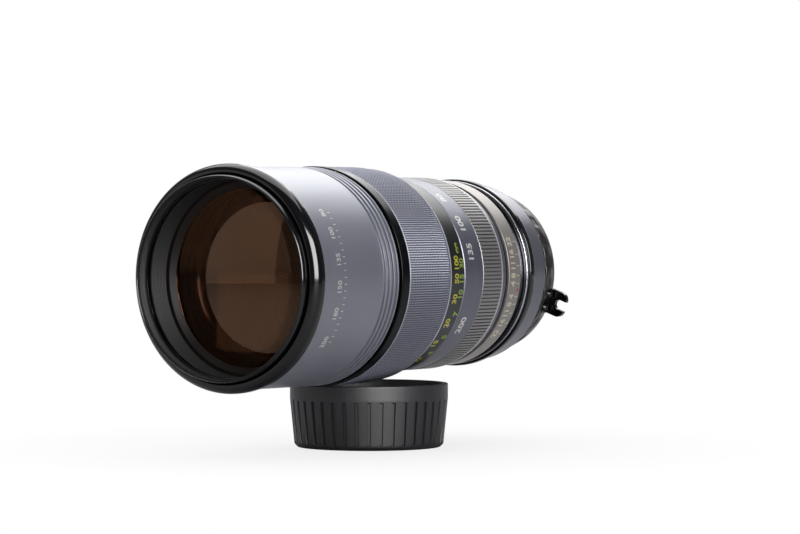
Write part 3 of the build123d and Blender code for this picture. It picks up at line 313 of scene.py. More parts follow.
# %% Lathe lines group
lathe, given, end = new_group("lathe_lines", [("Pitch", FLOAT, 4000.0)], [("Height", FLOAT)])
place = add_node(lathe, "TexCoord", {}).outputs["Object"]
split = add_node(lathe, "SeparateXYZ", {0: place}).outputs
across = add_node(lathe, "CombineXYZ", {"X": split["X"], "Z": split["Z"]})
reach = add_node(lathe, "VectorMath", {0: across.outputs[0]}, operation="LENGTH")
line = add_node(lathe, "CombineXYZ", {"X": split["Y"], "Y": reach.outputs["Value"]})
rings = add_node(lathe, "TexNoise", {"Vector": line.outputs[0], "Scale": given["Pitch"],
                                     "Detail": 2.0})
feed(lathe, end, {"Height": rings.outputs["Fac"]})
print("group", lathe.name, "nodes", len(lathe.nodes))

# %% [markdown]
# ### Dust
#
# A lens that has been handled holds a few pale specks and thin patches of dust. A noise pushed
# through a steep ramp leaves only its peaks, and those lighten the colour and dull the gloss.

# %% Dust group
PEAK_START, PEAK_END, DUST_DULLING = 0.58, 0.80, 0.5
dust, given, end = new_group(
    "dust", [("Colour", COLOR, MIDDLE_GREY), ("Roughness", FLOAT, 0.4), ("Amount", FLOAT, 0.1),
             ("Scale", FLOAT, 900.0)],
    [("Colour", COLOR), ("Roughness", FLOAT)])
place = add_node(dust, "TexCoord", {}).outputs["Object"]
specks = add_node(dust, "TexNoise", {"Vector": place, "Scale": given["Scale"], "Detail": 5.0})
peaks = add_node(dust, "MapRange", {"Value": specks.outputs["Fac"], "From Min": PEAK_START,
                                    "From Max": PEAK_END})
amount = calculate(dust, "MULTIPLY", peaks.outputs[0], given["Amount"])
feed(dust, end, {"Colour": mix_colours(dust, amount, given["Colour"], ink(176, 174, 168)),
                 "Roughness": calculate(dust, "MULTIPLY_ADD", amount, DUST_DULLING,
                                        given["Roughness"])})
print("group", dust.name, "nodes", len(dust.nodes))

# %% [markdown]
# ### One recipe for all opaque finishes
#
# Each finish is one shader fed by the groups: speckle moves the colour, dust lies over it, and
# lathe lines or grain go into a bump. A piece may carry a relief attribute: 0 in the hollows of a
# knurl or a rib, which are painted darker as shade, 1 on the plain surface, and 2 on an edge that
# is painted lighter, which on the zoom cone's front edge is a painted highlight. What is the same
# all over goes straight into the shader's own sockets.

# %% Opaque finish
BUMP_HEIGHT, COAT_ROUGHNESS = 0.00004, 0.05
finishes = {}


def new_material(name):
    """Material with its node tree and its Principled shader."""
    material = bpy.data.materials.new(name)
    material.use_nodes = True
    return material, material.node_tree, material.node_tree.nodes["Principled BSDF"]


def opaque(name, colour, roughness, metallic=0.0, contrast=0.25, grain=2500.0, lines=0.0,
           bump=0.0, dusty=0.08, hollow_shade=None, edge=None, coat=0.0, specular=0.5):
    """Painted, anodised, turned or moulded surface, kept in finishes."""
    material, tree, shader = new_material(name)
    if edge is not None:
        # Relief below 1 mixes in the hollow colour, painted shade; above 1 it mixes in the edge
        # colour, which paints the edge lighter.
        relief = add_node(tree, "Attribute", {}, attribute_name="relief").outputs["Fac"]
        above = calculate(tree, "SUBTRACT", relief, 1.0)
        colour = mix_colours(tree, above, mix_colours(tree, relief, hollow_shade or colour, colour), edge)
    tone = add_node(tree, "Group", {"Colour": colour, "Grain": grain, "Contrast": contrast,
                                    "Roughness": roughness}, node_tree=speckle).outputs
    over = add_node(tree, "Group", {"Colour": tone["Colour"], "Roughness": tone["Roughness"],
                                    "Amount": dusty}, node_tree=dust).outputs
    feed(tree, shader, {"Base Color": over["Colour"], "Roughness": over["Roughness"],
                        "Metallic": metallic, "Specular IOR Level": specular,
                        "Coat Weight": coat, "Coat Roughness": COAT_ROUGHNESS})
    if lines or bump:
        source = add_node(tree, "Group", {}, node_tree=lathe).outputs if lines else tone
        ripple = add_node(tree, "Bump", {"Strength": max(lines, bump), "Distance": BUMP_HEIGHT,
                                         "Height": source["Height"]})
        feed(tree, shader, {"Normal": ripple.outputs["Normal"]})
    finishes[name] = material


# %% Glass finish
GLASS_GRAIN, GLASS_CONTRAST = 90.0, 0.08


def glassy(name, tint, coating, ior):
    """Coated glass: clear inside, with the coating's colour in what it reflects."""
    material, tree, shader = new_material(name)
    tone = add_node(tree, "Group", {"Colour": tint, "Grain": GLASS_GRAIN,
                                    "Contrast": GLASS_CONTRAST}, node_tree=speckle)
    feed(tree, shader, {"Base Color": tone.outputs["Colour"], "Roughness": 0.0, "IOR": ior,
                        "Transmission Weight": 1.0, "Specular Tint": coating})
    finishes[name] = material


# %% [markdown]
# ### The finishes of this lens
#
# The names are those of the CAD record's slots, so each hidden piece gets its finish from the
# same list as the ones that show.

# %% Paint and anodising
opaque("gloss_black", ink(10, 11, 14), 0.13, contrast=0.3, dusty=0.006, coat=0.25, specular=0.35)
opaque("deep_black", ink(10, 11, 14), 0.22, contrast=0.3, dusty=0.006, specular=0.12)
opaque("satin_grey", ink(150, 152, 163), 0.36, metallic=0.15, contrast=0.3, grain=3200.0,
       bump=0.2, dusty=0.04)
# The edge colour of cone_grey is a painted highlight on the cone's front edge.
opaque("cone_grey", ink(104, 106, 120), 0.34, metallic=0.2, grain=3200.0, bump=0.2,
       edge=ink(158, 159, 168), dusty=0.04)
opaque("hold_grey", ink(118, 119, 128), 0.30, metallic=0.3, grain=3200.0, bump=0.15, dusty=0.05)
# The hollow colours below are painted shade in the grooves of the knurl and the slots of the ribs;
# the edge colours paint the grips' borders lighter.
opaque("knurled_grey", ink(170, 173, 189), 0.38, metallic=0.2, specular=0.35,
       hollow_shade=ink(22, 24, 32), edge=ink(214, 216, 224), dusty=0.04)
opaque("ribbed_grey", ink(150, 148, 147), 0.40, metallic=0.3, hollow_shade=ink(40, 39, 42),
       edge=ink(206, 204, 202), dusty=0.06)
opaque("scale_black", ink(14, 14, 16), 0.34, lines=0.2, dusty=0.03)
opaque("warm_black", ink(44, 40, 40), 0.34, lines=0.2, dusty=0.06)
opaque("keeper_brown", ink(36, 29, 25), 0.45, lines=0.3, dusty=0.02, specular=0.12)
opaque("index_silver", ink(158, 153, 148), 0.38, metallic=0.25, lines=0.3)
opaque("red_dot", ink(196, 24, 30), 0.3, coat=0.4)
print("painted:", len(finishes))

# %% Metal, plastic, glass and the paint of the marks
opaque("trim_silver", ink(172, 172, 178), 0.24, metallic=1.0, lines=0.15)
opaque("inner_black", ink(12, 11, 11), 0.62, lines=0.4, dusty=0.015, specular=0.3)
opaque("brass_metal", ink(198, 160, 92), 0.3, metallic=1.0, lines=0.4)
opaque("mount_chrome", ink(196, 196, 194), 0.24, metallic=1.0, lines=0.3, dusty=0.12)
opaque("steel", ink(160, 160, 162), 0.28, metallic=1.0, bump=0.2)
opaque("blade_steel", ink(52, 52, 54), 0.4, metallic=0.9, bump=0.2)
opaque("cap_plastic", ink(46, 47, 51), 0.48, contrast=0.3, grain=5000.0, bump=0.5, dusty=0.06)
glassy("front_glass", ink(176, 152, 134), ink(255, 205, 165), 1.62)
glassy("inner_glass", ink(212, 202, 192), ink(255, 214, 184), 1.55)
opaque("white_paint", ink(236, 236, 230), 0.5, contrast=0.1, dusty=0.1)
opaque("yellow_paint", ink(226, 220, 62), 0.5, contrast=0.1)
opaque("green_paint", ink(164, 200, 62), 0.5, contrast=0.1)
opaque("cream_paint", ink(238, 226, 200), 0.5, contrast=0.1)
print("finishes:", len(finishes))

# %% Finishes of the CAD pieces
for record_row in frame["record"]["subparts"]:
    node = frame["nodes"][record_row["node"]]
    for slot in node.material_slots:
        slot.material = finishes[record_row["material_slot"]]

# %% [markdown]
# ## The front rim
#
# The filter ring is thin, with a full, rounded nose and a fine thread inside for filters. The
# thread is blackened, so it is a piece of its own. A thread is a groove whose station shifts by one
# pitch in each turn, so its surface is a wave of station and angle together.

# %% Filter ring
FILTER_PITCH, FILTER_DEPTH, FILTER_WALL = 0.75, 0.38, 1.35
THREAD_LENGTH, THREAD_COVER, CELL_BORE = 5.0, 0.45, 37.6
LIP_LONG, LIP_TALL, LIP_FACE = 2.4, 0.8, 0.15
lip_front, lip_rear, lip_radius = extent("filter_ring")
filter_bore, thread_rear = lip_radius - FILTER_WALL, lip_front + THREAD_LENGTH
thread_seat = filter_bore + THREAD_COVER


def bullnose(front, radius, long, tall, count=9):
    """Quarter ellipse of corners from the front face out to the rim:
    station = front + long (1 - cos t), radius = rim - tall (1 - sin t)."""
    t = np.linspace(0, np.pi / 2, count)
    return list(zip(front + long * (1 - np.cos(t)), radius - tall * (1 - np.sin(t))))


add_turned("filter_ring", [
    (lip_front + LIP_FACE, thread_seat), *bullnose(lip_front, lip_radius, LIP_LONG, LIP_TALL),
    (lip_rear, lip_radius), (lip_rear, CELL_BORE), (thread_rear, CELL_BORE),
    (thread_rear, thread_seat)
], "front_group", "gloss_black", steps=2)

# %% Filter thread
THREAD_START, THREAD_FIT, THREAD_LEAD, THREAD_END, THREAD_FADE = 0.25, 0.02, 0.8, 0.7, 0.6
THREAD_SAMPLES = 6


def threaded_bore(front, rear):
    """Rows from the rear to the front of the bore: radius = bore + depth * triangle wave of
    (station / pitch - angle / full turn), faded out at both ends."""
    rows = np.linspace(rear, front, int((rear - front) / FILTER_PITCH * THREAD_SAMPLES))[:, None]
    wave = np.abs(2 * np.mod(rows / FILTER_PITCH - turns() / (2 * np.pi), 1) - 1)
    fade = np.clip(np.minimum(rows - front, rear - rows) / (THREAD_FADE * FILTER_PITCH), 0, 1)
    return rows, filter_bore + FILTER_DEPTH * wave * fade


outline = rounded(band(lip_front + THREAD_START, thread_rear - THREAD_FIT, filter_bore,
                       thread_seat - THREAD_FIT), cut=0.05, steps=1)
thread_rows, thread_radii = threaded_bore(lip_front + THREAD_LEAD, thread_rear - THREAD_END)
station = np.concatenate([outline[:, :1], thread_rows])
radius = np.concatenate([np.repeat(outline[:, 1:], SEGMENTS, axis=1), thread_radii])
add_piece("filter_thread_cut", round_axis(station, radius, turns()),
          grid_faces(len(station), SEGMENTS), "front_group", "inner_black")

# %% [markdown]
# ### The bezel
#
# The bezel behind the lip is the widest ring of all, with fat rounded edges that draw long
# highlights. Its front face is a quarter of an ellipse, made from thirteen corners.

# %% Front bezel
FIT, BEZEL_LONG, BEZEL_TALL, BEZEL_FACE = 0.05, 3.6, 3.4, 0.9
bezel_front, bezel_rear, bezel_radius = extent("front_bezel")
bezel_bore = lip_radius + FIT
add_turned("front_bezel", [
    (bezel_front + BEZEL_FACE, bezel_bore),
    *bullnose(bezel_front, bezel_radius, BEZEL_LONG, BEZEL_TALL, 13), (bezel_rear, bezel_radius),
    (bezel_rear, bezel_bore)
], "front_group", "gloss_black", cut=0.6, steps=2)

# %% [markdown]
# ## The front barrel
#
# A long satin tube, a little wider to the rear, with four fins cut at its rear end. The fins are
# part of the same outline, which steps down into each groove and up again.

# %% Front barrel
FIN_COUNT, FIN_PITCH, FIN_GROOVE, FIN_DEPTH, FIN_SLOPE = 4, 2.7, 1.5, 1.1, 0.15
BARREL_TAPER, BARREL_BORE = 0.4, 39.25
barrel_front, barrel_rear, barrel_rear_radius = extent("front_barrel")
barrel_radius = barrel_rear_radius - BARREL_TAPER
on_barrel = taper(barrel_front, barrel_rear, barrel_radius, barrel_rear_radius)
fin_corners = []
for number in reversed(range(FIN_COUNT)):
    rear = barrel_rear - FIN_GROOVE / 2 - FIN_PITCH * number
    front = rear - FIN_GROOVE
    floor = barrel_rear_radius - FIN_DEPTH
    fin_corners += [(front, on_barrel(front)), (front + FIN_SLOPE, floor),
                    (rear - FIN_SLOPE, floor), (rear, on_barrel(rear))]
add_turned("front_barrel", [
    (barrel_front, BARREL_BORE), (barrel_front, barrel_radius), *fin_corners,
    (barrel_rear, barrel_rear_radius), (barrel_rear, BARREL_BORE)
], "front_group", "satin_grey", cut=0.25)

# %% [markdown]
# ## The cell and the front glass
#
# Inside the rim a black wall leads down to the glass. Its fine grooves swallow stray light. The
# retaining ring holds three elements, and each face of an element is part of a sphere.

# %% Front cell
SHOULDER, GLASS_BORE, GLASS_STOP, STOP_THICK = -170.244, 34.55, 2.0, 2.0
CELL_WALL, CELL_FLANGE, GROOVE_START, GROOVE_PITCH, GROOVE_DEPTH = 2.6, 1.9, 2.4, 0.45, 0.3
cell_front, cell_rear, cell_radius = extent("front_cell")
flange_rear = SHOULDER + CELL_FLANGE
groove_stations = np.arange(SHOULDER - GROOVE_START, cell_front + 0.5, -GROOVE_PITCH)
grooves = [(station, CELL_BORE + GROOVE_DEPTH * (number % 2))
           for number, station in enumerate(groove_stations)]
add_turned("front_cell", [
    (cell_front, CELL_BORE), (cell_front, cell_radius), (flange_rear, cell_radius),
    (flange_rear, GLASS_BORE + CELL_WALL), (cell_rear, GLASS_BORE + CELL_WALL),
    (cell_rear, GLASS_BORE - GLASS_STOP), (cell_rear - STOP_THICK, GLASS_BORE - GLASS_STOP),
    (cell_rear - STOP_THICK, GLASS_BORE), (SHOULDER, GLASS_BORE), (SHOULDER, CELL_BORE), *grooves
], "front_group", "inner_black", cut=0.05, steps=1)

# %% Retaining ring
KEEPER_FRONT_BORE, KEEPER_REAR_BORE = 36.2, 34.0
keeper_front, keeper_rear, keeper_radius = extent("front_retaining_ring")
add_turned("front_retaining_ring", [
    (keeper_front, KEEPER_FRONT_BORE), (keeper_front, keeper_radius), (keeper_rear, keeper_radius),
    (keeper_rear, KEEPER_REAR_BORE)
], "front_group", "inner_black", cut=0.25, finish="keeper_brown")


# %% Lens elements
def sag(radius, curve):
    """Depth of a sphere of the curve's radius at a distance from its middle:
    |R| - sqrt(R^2 - r^2), towards the rear where the curve is positive."""
    return np.sign(curve) * (abs(curve) - np.sqrt(curve ** 2 - radius ** 2))


def add_element(node, curves, thickness, front, slot="inner_glass"):
    """Lens element: front sphere from the axis out, rim, rear sphere back to the axis. The points
    on the axis are merged, which closes each face."""
    reach = GLASS_RADIUS * np.sin(np.linspace(0, np.pi / 2, 22))
    rear = front + thickness
    station = np.concatenate([front + sag(reach, curves[0]), (rear + sag(reach, curves[1]))[::-1]])
    radius = np.concatenate([reach, reach[::-1]])
    points = round_axis(station[:, None], radius[:, None], turns(GLASS_SEGMENTS))
    piece = add_piece(node + "_ground", points, grid_faces(len(station), GLASS_SEGMENTS, False),
                      "front_group", slot, (node,), crease=30)
    melt = bmesh.new()
    melt.from_mesh(piece.data)
    bmesh.ops.remove_doubles(melt, verts=melt.verts, dist=1e-7)
    melt.to_mesh(piece.data)
    melt.free()
    return rear


GLASS_RADIUS, GLASS_SEGMENTS, AIR_GAP = 34.5, 192, 0.05
crown_rear = add_element("front_element_crown", (118.0, -420.0), 10.5,
                         extent("front_element_crown")[0], slot="front_glass")
add_element("front_element_flint", (-420.0, 190.0), 3.2, crown_rear + AIR_GAP)
add_element("front_element_inner", (92.0, 340.0), 8.5, extent("front_element_inner")[0])

# %% [markdown]
# ## The focus ring
#
# First a deep black collar, duller than the rim, that the grip is pushed on to. The steps in its
# bore fit the parts that it turns on.

# %% Focus collar
GUIDE_BORE, GRIP_SEAT, SCALE_SEAT, FOCUS_BORE, BORE_STEP = 39.28, 40.85, 39.0, 38.4, 16
collar_front, focus_rear, collar_radius = extent("focus_ring")
grip_front, grip_rear, grip_radius = extent("focus_grip")
add_turned("focus_ring", [
    (collar_front, GUIDE_BORE), (collar_front, collar_radius), (grip_front, collar_radius),
    (grip_front, GRIP_SEAT), (grip_rear, GRIP_SEAT), (grip_rear, SCALE_SEAT),
    (focus_rear, SCALE_SEAT), (focus_rear, FOCUS_BORE), (focus_rear - BORE_STEP, FOCUS_BORE),
    (focus_rear - BORE_STEP, GUIDE_BORE)
], "focus", "gloss_black", cut=0.5, finish="deep_black")

# %% [markdown]
# ### The knurl
#
# A knurl is two sets of grooves that cross, which leaves rows of small studs. Three samples a
# period are enough: one in the groove and two on top. The relief attribute tells the finish which
# points are on top, so that the grooves get painted shade, and which are on the two edges of the
# grip, which are painted lighter.

# %% Knurled grip
STUD_COLUMNS, STUD_ROWS, STUD_HEIGHT = 280, 26, 0.42
EASE_START, EASE_DROP, NOTCH_START, NOTCH_DEPTH = 0.75, 0.5, 2.5, 0.5
GRIP_BORE, KNURL_LEAD, KNURL_GAP = 40.92, 0.7, 0.2
columns = STUD_COLUMNS * 3
end_radius = grip_radius - EASE_DROP
along = (np.arange(STUD_ROWS * 3)[:, None] + 0.5) / (STUD_ROWS * 3)
knurl_length = grip_rear - NOTCH_START - KNURL_GAP - grip_front - KNURL_LEAD
knurl_station = grip_front + KNURL_LEAD + knurl_length * along
ease = np.clip((along - EASE_START) / (1 - EASE_START), 0, 1)
on_top = np.tile([0.0, 1.0, 1.0], STUD_ROWS)[:, None] * np.tile([0.0, 1.0, 1.0], STUD_COLUMNS)
knurl_radius = grip_radius - EASE_DROP * ease - STUD_HEIGHT * (1 - on_top)

# %% Ends of the grip
# At the rear end, the notches keep relief 0 and get painted shade; the rows of relief 2 at both
# ends, and 1.6 in the last row, are painted lighter.
ring, notch = np.ones((1, columns)), np.tile([1.0, 0.0, 0.0], STUD_COLUMNS)[None, :]
notched = end_radius - NOTCH_DEPTH * (1 - notch)
front_rows = [(0.0, GRIP_BORE, 1), (0.0, grip_radius - 0.5, 1), (0.3, grip_radius, 2),
              (0.55, grip_radius, 2)]
rear_rows = [(-NOTCH_START, notched, notch), (-1.95, notched, notch), (-1.85, end_radius, 2),
             (-0.45, end_radius - 0.55, 2), (0.0, end_radius - 0.95, 1.6), (0.0, GRIP_BORE, 1)]
rows = [(grip_front + after, radius * ring, relief * ring) for after, radius, relief in front_rows]
rows += zip(knurl_station, knurl_radius, on_top)
rows += [(grip_rear + after, radius * ring, relief * ring) for after, radius, relief in rear_rows]
station, radius, relief = (np.vstack(part) for part in zip(*rows))
add_piece("focus_grip_knurled", round_axis(station, radius, turns(columns)),
          grid_faces(len(station), columns), "focus", "knurled_grey", ("focus_grip",),
          crease=12, relief=relief)

# %% [markdown]
# ### The distance scale
#
# The scale ring lies deep between the grip and the zoom ring, as the photograph shows, so its
# outline here is a little lower and longer than the CAD ring's. The heads of its three grub
# screws come with the numerals.

# %% Scale ring
BAND_RADIUS, BAND_TAPER, BAND_REAR = 39.9, 0.3, -79.7
scale_front = extent("distance_scale_ring")[0]
add_turned("distance_scale_ring", [
    (scale_front, SCALE_SEAT + FIT), (scale_front, BAND_RADIUS),
    (BAND_REAR, BAND_RADIUS - BAND_TAPER), (BAND_REAR, SCALE_SEAT + FIT)
], "focus", "scale_black")

# %% [markdown]
# ## The zoom ring
#
# A blue-grey cone for the focal lengths, a grip of fine ribs, and a plain border. The ribs run
# along the axis: each period has a flat top and a slot with steep sides, and the slots end short
# of the grip's edges.

# %% Zoom ring
CONE_FRONT, CONE_FRONT_RADIUS, CONE_REAR_RADIUS, CONE_EDGE = -79.2, 39.35, 38.9, 0.7
BORDER_RADIUS, ZOOM_BORE, RIB_SEAT, RIB_PROUD, RIB_REACH = 38.0, 36.88, 1.3, 0.4, 3.4
zoom_rear = extent("zoom_ring")[1]
rib_front, rib_rear, rib_radius = extent("zoom_grip")
rib_radius, rib_rear = rib_radius + RIB_PROUD, rib_rear + RIB_REACH
# The cone's front edge carries a painted highlight: its relief rises to 2 there, and the finish
# paints it a lighter grey.
highlight_edge = (CONE_FRONT + CONE_EDGE / 2, CONE_FRONT_RADIUS - CONE_EDGE / 2, 0.8)
add_turned("zoom_ring", [
    (CONE_FRONT, ZOOM_BORE), (CONE_FRONT, CONE_FRONT_RADIUS - CONE_EDGE),
    (CONE_FRONT + CONE_EDGE, CONE_FRONT_RADIUS), (rib_front, CONE_REAR_RADIUS),
    (rib_front, rib_radius - RIB_SEAT), (rib_rear, rib_radius - RIB_SEAT),
    (rib_rear, BORDER_RADIUS), (zoom_rear, BORDER_RADIUS), (zoom_rear, ZOOM_BORE)
], "zoom", "satin_grey", finish="cone_grey", highlights=[highlight_edge],
           cut=[0.1, 0.2, 0.3, 0.25, 0.1, 0.1, 0.2, 0.5, 0.1])

# %% [markdown]
# ### The ribs
#
# Each row of the grip says how far it is from the front, how far it stands above the ribs' tops,
# how deep its slots go, and its relief. The slots start deep behind the front border, where they
# are painted darkest as shade; further on they keep a lighter painted shade, and the rear border
# is painted bright.

# %% Ribbed grip
RIB_COUNT, RIB_DEPTH = 160, 0.5
rib_turns, in_slot = repeated(RIB_COUNT, [0.0, 0.60, 0.66, 0.94], [0.0, 0.0, 1.0, 1.0])
length = rib_rear - rib_front
after, above, slot_share, shade = np.array(
    [(0.0, -RIB_SEAT, 0, 1), (0.0, -0.15, 0, 1), (0.15, 0.0, 0, 1), (0.3, 0.0, 0, 1),
     (0.4, 0.0, 1.8, 0), (1.5, 0.0, 1.8, 0), (1.7, 0.0, 1, 0.45),
     (length - 1.6, 0.0, 1, 0.45), (length - 1.5, 0.0, 0, 2), (length - 0.5, -0.1, 0, 2),
     (length, -0.6, 0, 1.5), (length, -RIB_SEAT, 0, 1)]).T[:, :, None]
# In the slots the relief falls to the shade column: painted shade, darkest just behind the front
# border.
rib_radii = rib_radius + above - RIB_DEPTH * slot_share * in_slot
rib_relief = np.where(slot_share > 0, 1 - in_slot * (1 - shade), shade)
add_piece("zoom_grip_ribbed", round_axis(rib_front + after, rib_radii, rib_turns),
          grid_faces(len(after), in_slot.size), "zoom", "ribbed_grey", ("zoom_grip",),
          crease=25, relief=rib_relief)

# %% [markdown]
# ## The fixed rings at the rear
#
# The index ring carries the marks that the other rings are read against. A thin bright ring, a
# rounded ring to hold the lens by and the barrel between them come next.

# %% Index and trim rings
INDEX_DEPTH, TRIM_DEPTH = 1.15, 1.7
index_front, index_rear, index_radius = extent("index_ring")
add_turned("index_ring", band(index_front, index_rear, index_radius - INDEX_DEPTH, index_radius),
           "root", "index_silver", cut=[0.1, 0.6, 0.6, 0.1])
trim_front, trim_rear, trim_radius = extent("trim_ring")
add_turned("trim_ring", band(trim_front, trim_rear, trim_radius - TRIM_DEPTH, trim_radius),
           "root", "trim_silver", cut=0.45)

# %% Shoulder and hold ring
SHOULDER_REAR, SHOULDER_RADIUS = -25.4, 38.6
HOLD_START, HOLD_SWELL, HOLD_DEPTH = -24.9, 0.9, 1.45
hold_front, hold_rear, hold_radius = extent("hold_ring")
waist_radius, swell_radius = hold_radius + FIT, hold_radius + HOLD_SWELL
add_turned("trim_shoulder", band(trim_rear, SHOULDER_REAR, waist_radius + FIT, SHOULDER_RADIUS),
           "root", "gloss_black", cut=[0.1, 0.6, 0.6, 0.1])
add_turned("hold_ring", [
    (HOLD_START, waist_radius + FIT), (HOLD_START, swell_radius), (hold_rear, swell_radius),
    (hold_rear, hold_radius - HOLD_DEPTH), (hold_front, hold_radius - HOLD_DEPTH),
    (hold_front, waist_radius + FIT)
], "root", "satin_grey", cut=[0.1, 1.2, 2.2, 0.1, 0.1, 0.1], steps=8, finish="hold_grey")

# %% Rear barrel
REAR_BORE, REAR_BORE_LENGTH, END_LENGTH, END_WALL, SIDE_WALL = 31.4, 9.5, 4, 8.3, 3.3
APERTURE_DEPTH, APERTURE_GAP, HOLD_SEAT = 2.68, 0.3, 1.5
rear_front, rear_end, rear_radius = extent("rear_barrel")
aperture_front, aperture_rear, aperture_radius = extent("aperture_ring")
ring_land = aperture_radius - APERTURE_DEPTH
bore_end = rear_front + REAR_BORE_LENGTH
add_turned("rear_barrel", [
    (rear_front, REAR_BORE), (rear_front, rear_radius), (index_rear, rear_radius),
    (index_rear, waist_radius), (hold_front, waist_radius), (hold_front, hold_radius - HOLD_SEAT),
    (aperture_front - APERTURE_GAP, hold_radius - HOLD_SEAT),
    (aperture_front - APERTURE_GAP, ring_land), (rear_end, ring_land),
    (rear_end, ring_land - END_WALL), (rear_end - END_LENGTH, ring_land - END_WALL),
    (rear_end - END_LENGTH, ring_land - SIDE_WALL), (bore_end, ring_land - SIDE_WALL),
    (bore_end, REAR_BORE)
], "root", "gloss_black", cut=0.3)

# %% [markdown]
# ### The aperture ring
#
# It narrows to the rear, and its wider front edge is cut into shallow scallops for the fingers. A
# scallop is a cosine of the angle, clipped so that flats stay between the hollows.

# %% Aperture ring
SCALLOPS, SCALLOP_DEPTH, SCALLOP_STEEPNESS, SCALLOP_END, SCALLOP_FADE = 24, 0.35, 1.6, 3.6, 0.5
RING_STRAIGHT, RING_LEAN, RING_FIT, RING_WALL = 3.2, 1.3, 0.08, 1.2
outline = rounded([(aperture_front, ring_land + RING_FIT), (aperture_front, aperture_radius),
                   (aperture_front + RING_STRAIGHT, aperture_radius),
                   (aperture_rear, aperture_radius - RING_LEAN),
                   (aperture_rear, ring_land + RING_FIT)], cut=[0.1, 0.5, 0.3, 0.3, 0.1])
station, rim = outline[:, :1], outline[:, 1:]
flat = np.clip(0.5 + SCALLOP_STEEPNESS * np.cos(SCALLOPS * turns()), 0, 1)
near_front = np.clip((aperture_front + SCALLOP_END - station) / SCALLOP_FADE, 0, 1)
outside = (rim > ring_land + RING_WALL).astype(float)
radius = rim - SCALLOP_DEPTH * (1 - flat) * near_front * outside
add_piece("aperture_ring_turned", round_axis(station, radius, turns()),
          grid_faces(len(outline), SEGMENTS), "aperture", "scale_black", ("aperture_ring",),
          finish="warm_black")

# %% [markdown]
# ## The rear cap
#
# A moulded cup. Its wall leans inward to the foot, with narrow slots between flat ribs below a
# plain band. The same revolution makes it, turned upright and moved to where the cap stands.

# %% Upright revolution
cap_low, cap_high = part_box("rear_cap")
cap_middle = ((cap_low[0] + cap_high[0]) / 2 / MM, (cap_low[1] + cap_high[1]) / 2 / MM)
cap_rim, cap_floor = cap_high[2] / MM, cap_low[2] / MM
cap_radius = (cap_high[0] - cap_low[0]) / 2 / MM


def upright(depth, radius, turn):
    """Points round the cap's own axis: depth is measured down from the rim."""
    across, down, away = round_axis(depth, radius, turn).T
    return np.stack([cap_middle[0] + across, cap_middle[1] + away, cap_rim - down], axis=-1)


# %% Cap wall
CAP_SLOTS, CAP_WALL, CAP_BASE, CAP_BAND, CAP_FOOT, SLOT_DEPTH = 40, 2.2, 2.4, 5.8, 29.8, 0.9
CAP_BEVEL, CAP_GATE, CORNER_POINTS = 1.3, 0.4, 7
cap_height = cap_rim - cap_floor
cap_turns, cap_slot = repeated(CAP_SLOTS, [0.0, 0.22, 0.44, 0.66, 0.69, 0.83, 0.97],
                               [0.0, 0.0, 0.0, 0.0, 1.0, 1.0, 1.0])
wall_top, wall_foot = np.array([CAP_BAND, cap_radius]), np.array([cap_height - CAP_BEVEL, CAP_FOOT])
outline = rounded([(cap_height - CAP_BASE, CAP_GATE), (cap_height - CAP_BASE, CAP_FOOT - CAP_WALL),
                   (0, cap_radius - CAP_WALL), (0, cap_radius), wall_top, wall_foot,
                   (cap_height, CAP_FOOT - CAP_BEVEL), (cap_height, CAP_GATE)],
                  cut=[0.01, 0.5, 0.35, 0.5, 0.3, 0.5, 0.4, 0.01])

# %% Cap slots
ROW_SHARES = np.array([0.03, 0.05, 0.5, 0.95, 0.97])[:, None]
wall = wall_top + (wall_foot - wall_top) * ROW_SHARES
split = 5 * CORNER_POINTS
outline = np.concatenate([outline[:split], wall, outline[split:]])
slot_depth = np.zeros((len(outline), 1))
slot_depth[split + 1:split + 4] = SLOT_DEPTH
radius = outline[:, 1:] - slot_depth * cap_slot
add_piece("rear_cap_moulded", upright(outline[:, :1], radius, cap_turns),
          grid_faces(len(outline), cap_slot.size), "cap", "cap_plastic", ("rear_cap",),
          crease=30)

# %% Cap ring
CLAW_RING, CLAW_WALL, CLAW_DROP = 26.0, 1.4, 3.6
outline = rounded(band(CLAW_DROP, cap_height - CAP_BASE, CLAW_RING - CLAW_WALL, CLAW_RING))
add_piece("cap_inner_ring", upright(outline[:, :1], outline[:, 1:], turns()),
          grid_faces(len(outline), SEGMENTS), "cap", "cap_plastic")

# %% [markdown]
# Three claws on that ring would hold the cap on the mount's tabs. Each is an arc of a ring: the
# same grid of faces without the column that would close it, and a face over each end.

# %% Cap claws
CLAW_TIP, CLAW_ROOT, CLAW_THICK, CLAW_START, CLAW_SPAN, ARC_STEPS = 22.2, 25.6, 1.5, 40, 40, 24
outline = rounded(band(CLAW_DROP, CLAW_DROP + CLAW_THICK, CLAW_TIP, CLAW_ROOT), 0.15, 2)
faces = grid_faces(len(outline), ARC_STEPS)
faces = faces[np.abs(faces[:, 0] % ARC_STEPS - faces[:, 3] % ARC_STEPS) == 1].tolist()
ends = np.arange(len(outline)) * ARC_STEPS
faces += [ends[::-1].tolist(), (ends + ARC_STEPS - 1).tolist()]
for number in range(3):
    arc = CLAW_START + 120 * number + CLAW_SPAN * np.linspace(0, 1, ARC_STEPS)[None, :]
    add_piece(f"cap_claw_{number + 1}", upright(outline[:, :1], outline[:, 1:], np.radians(arc)),
              faces, "cap", "cap_plastic", crease=30)

# %% [markdown]
# ## Numerals and marks
#
# The figures on a lens are engraved and filled with paint. Here a text becomes a flat mesh first.
# Then its points are bent round the ring: across the text is angle, up the text is station, and
# the little thickness is radius. The numerals are read from below upward, with their tops to the
# front, as on the real rings.

# %% Flat figures
FIGURE_THICKNESS, CAPITAL_SHARE = 0.04, 0.7


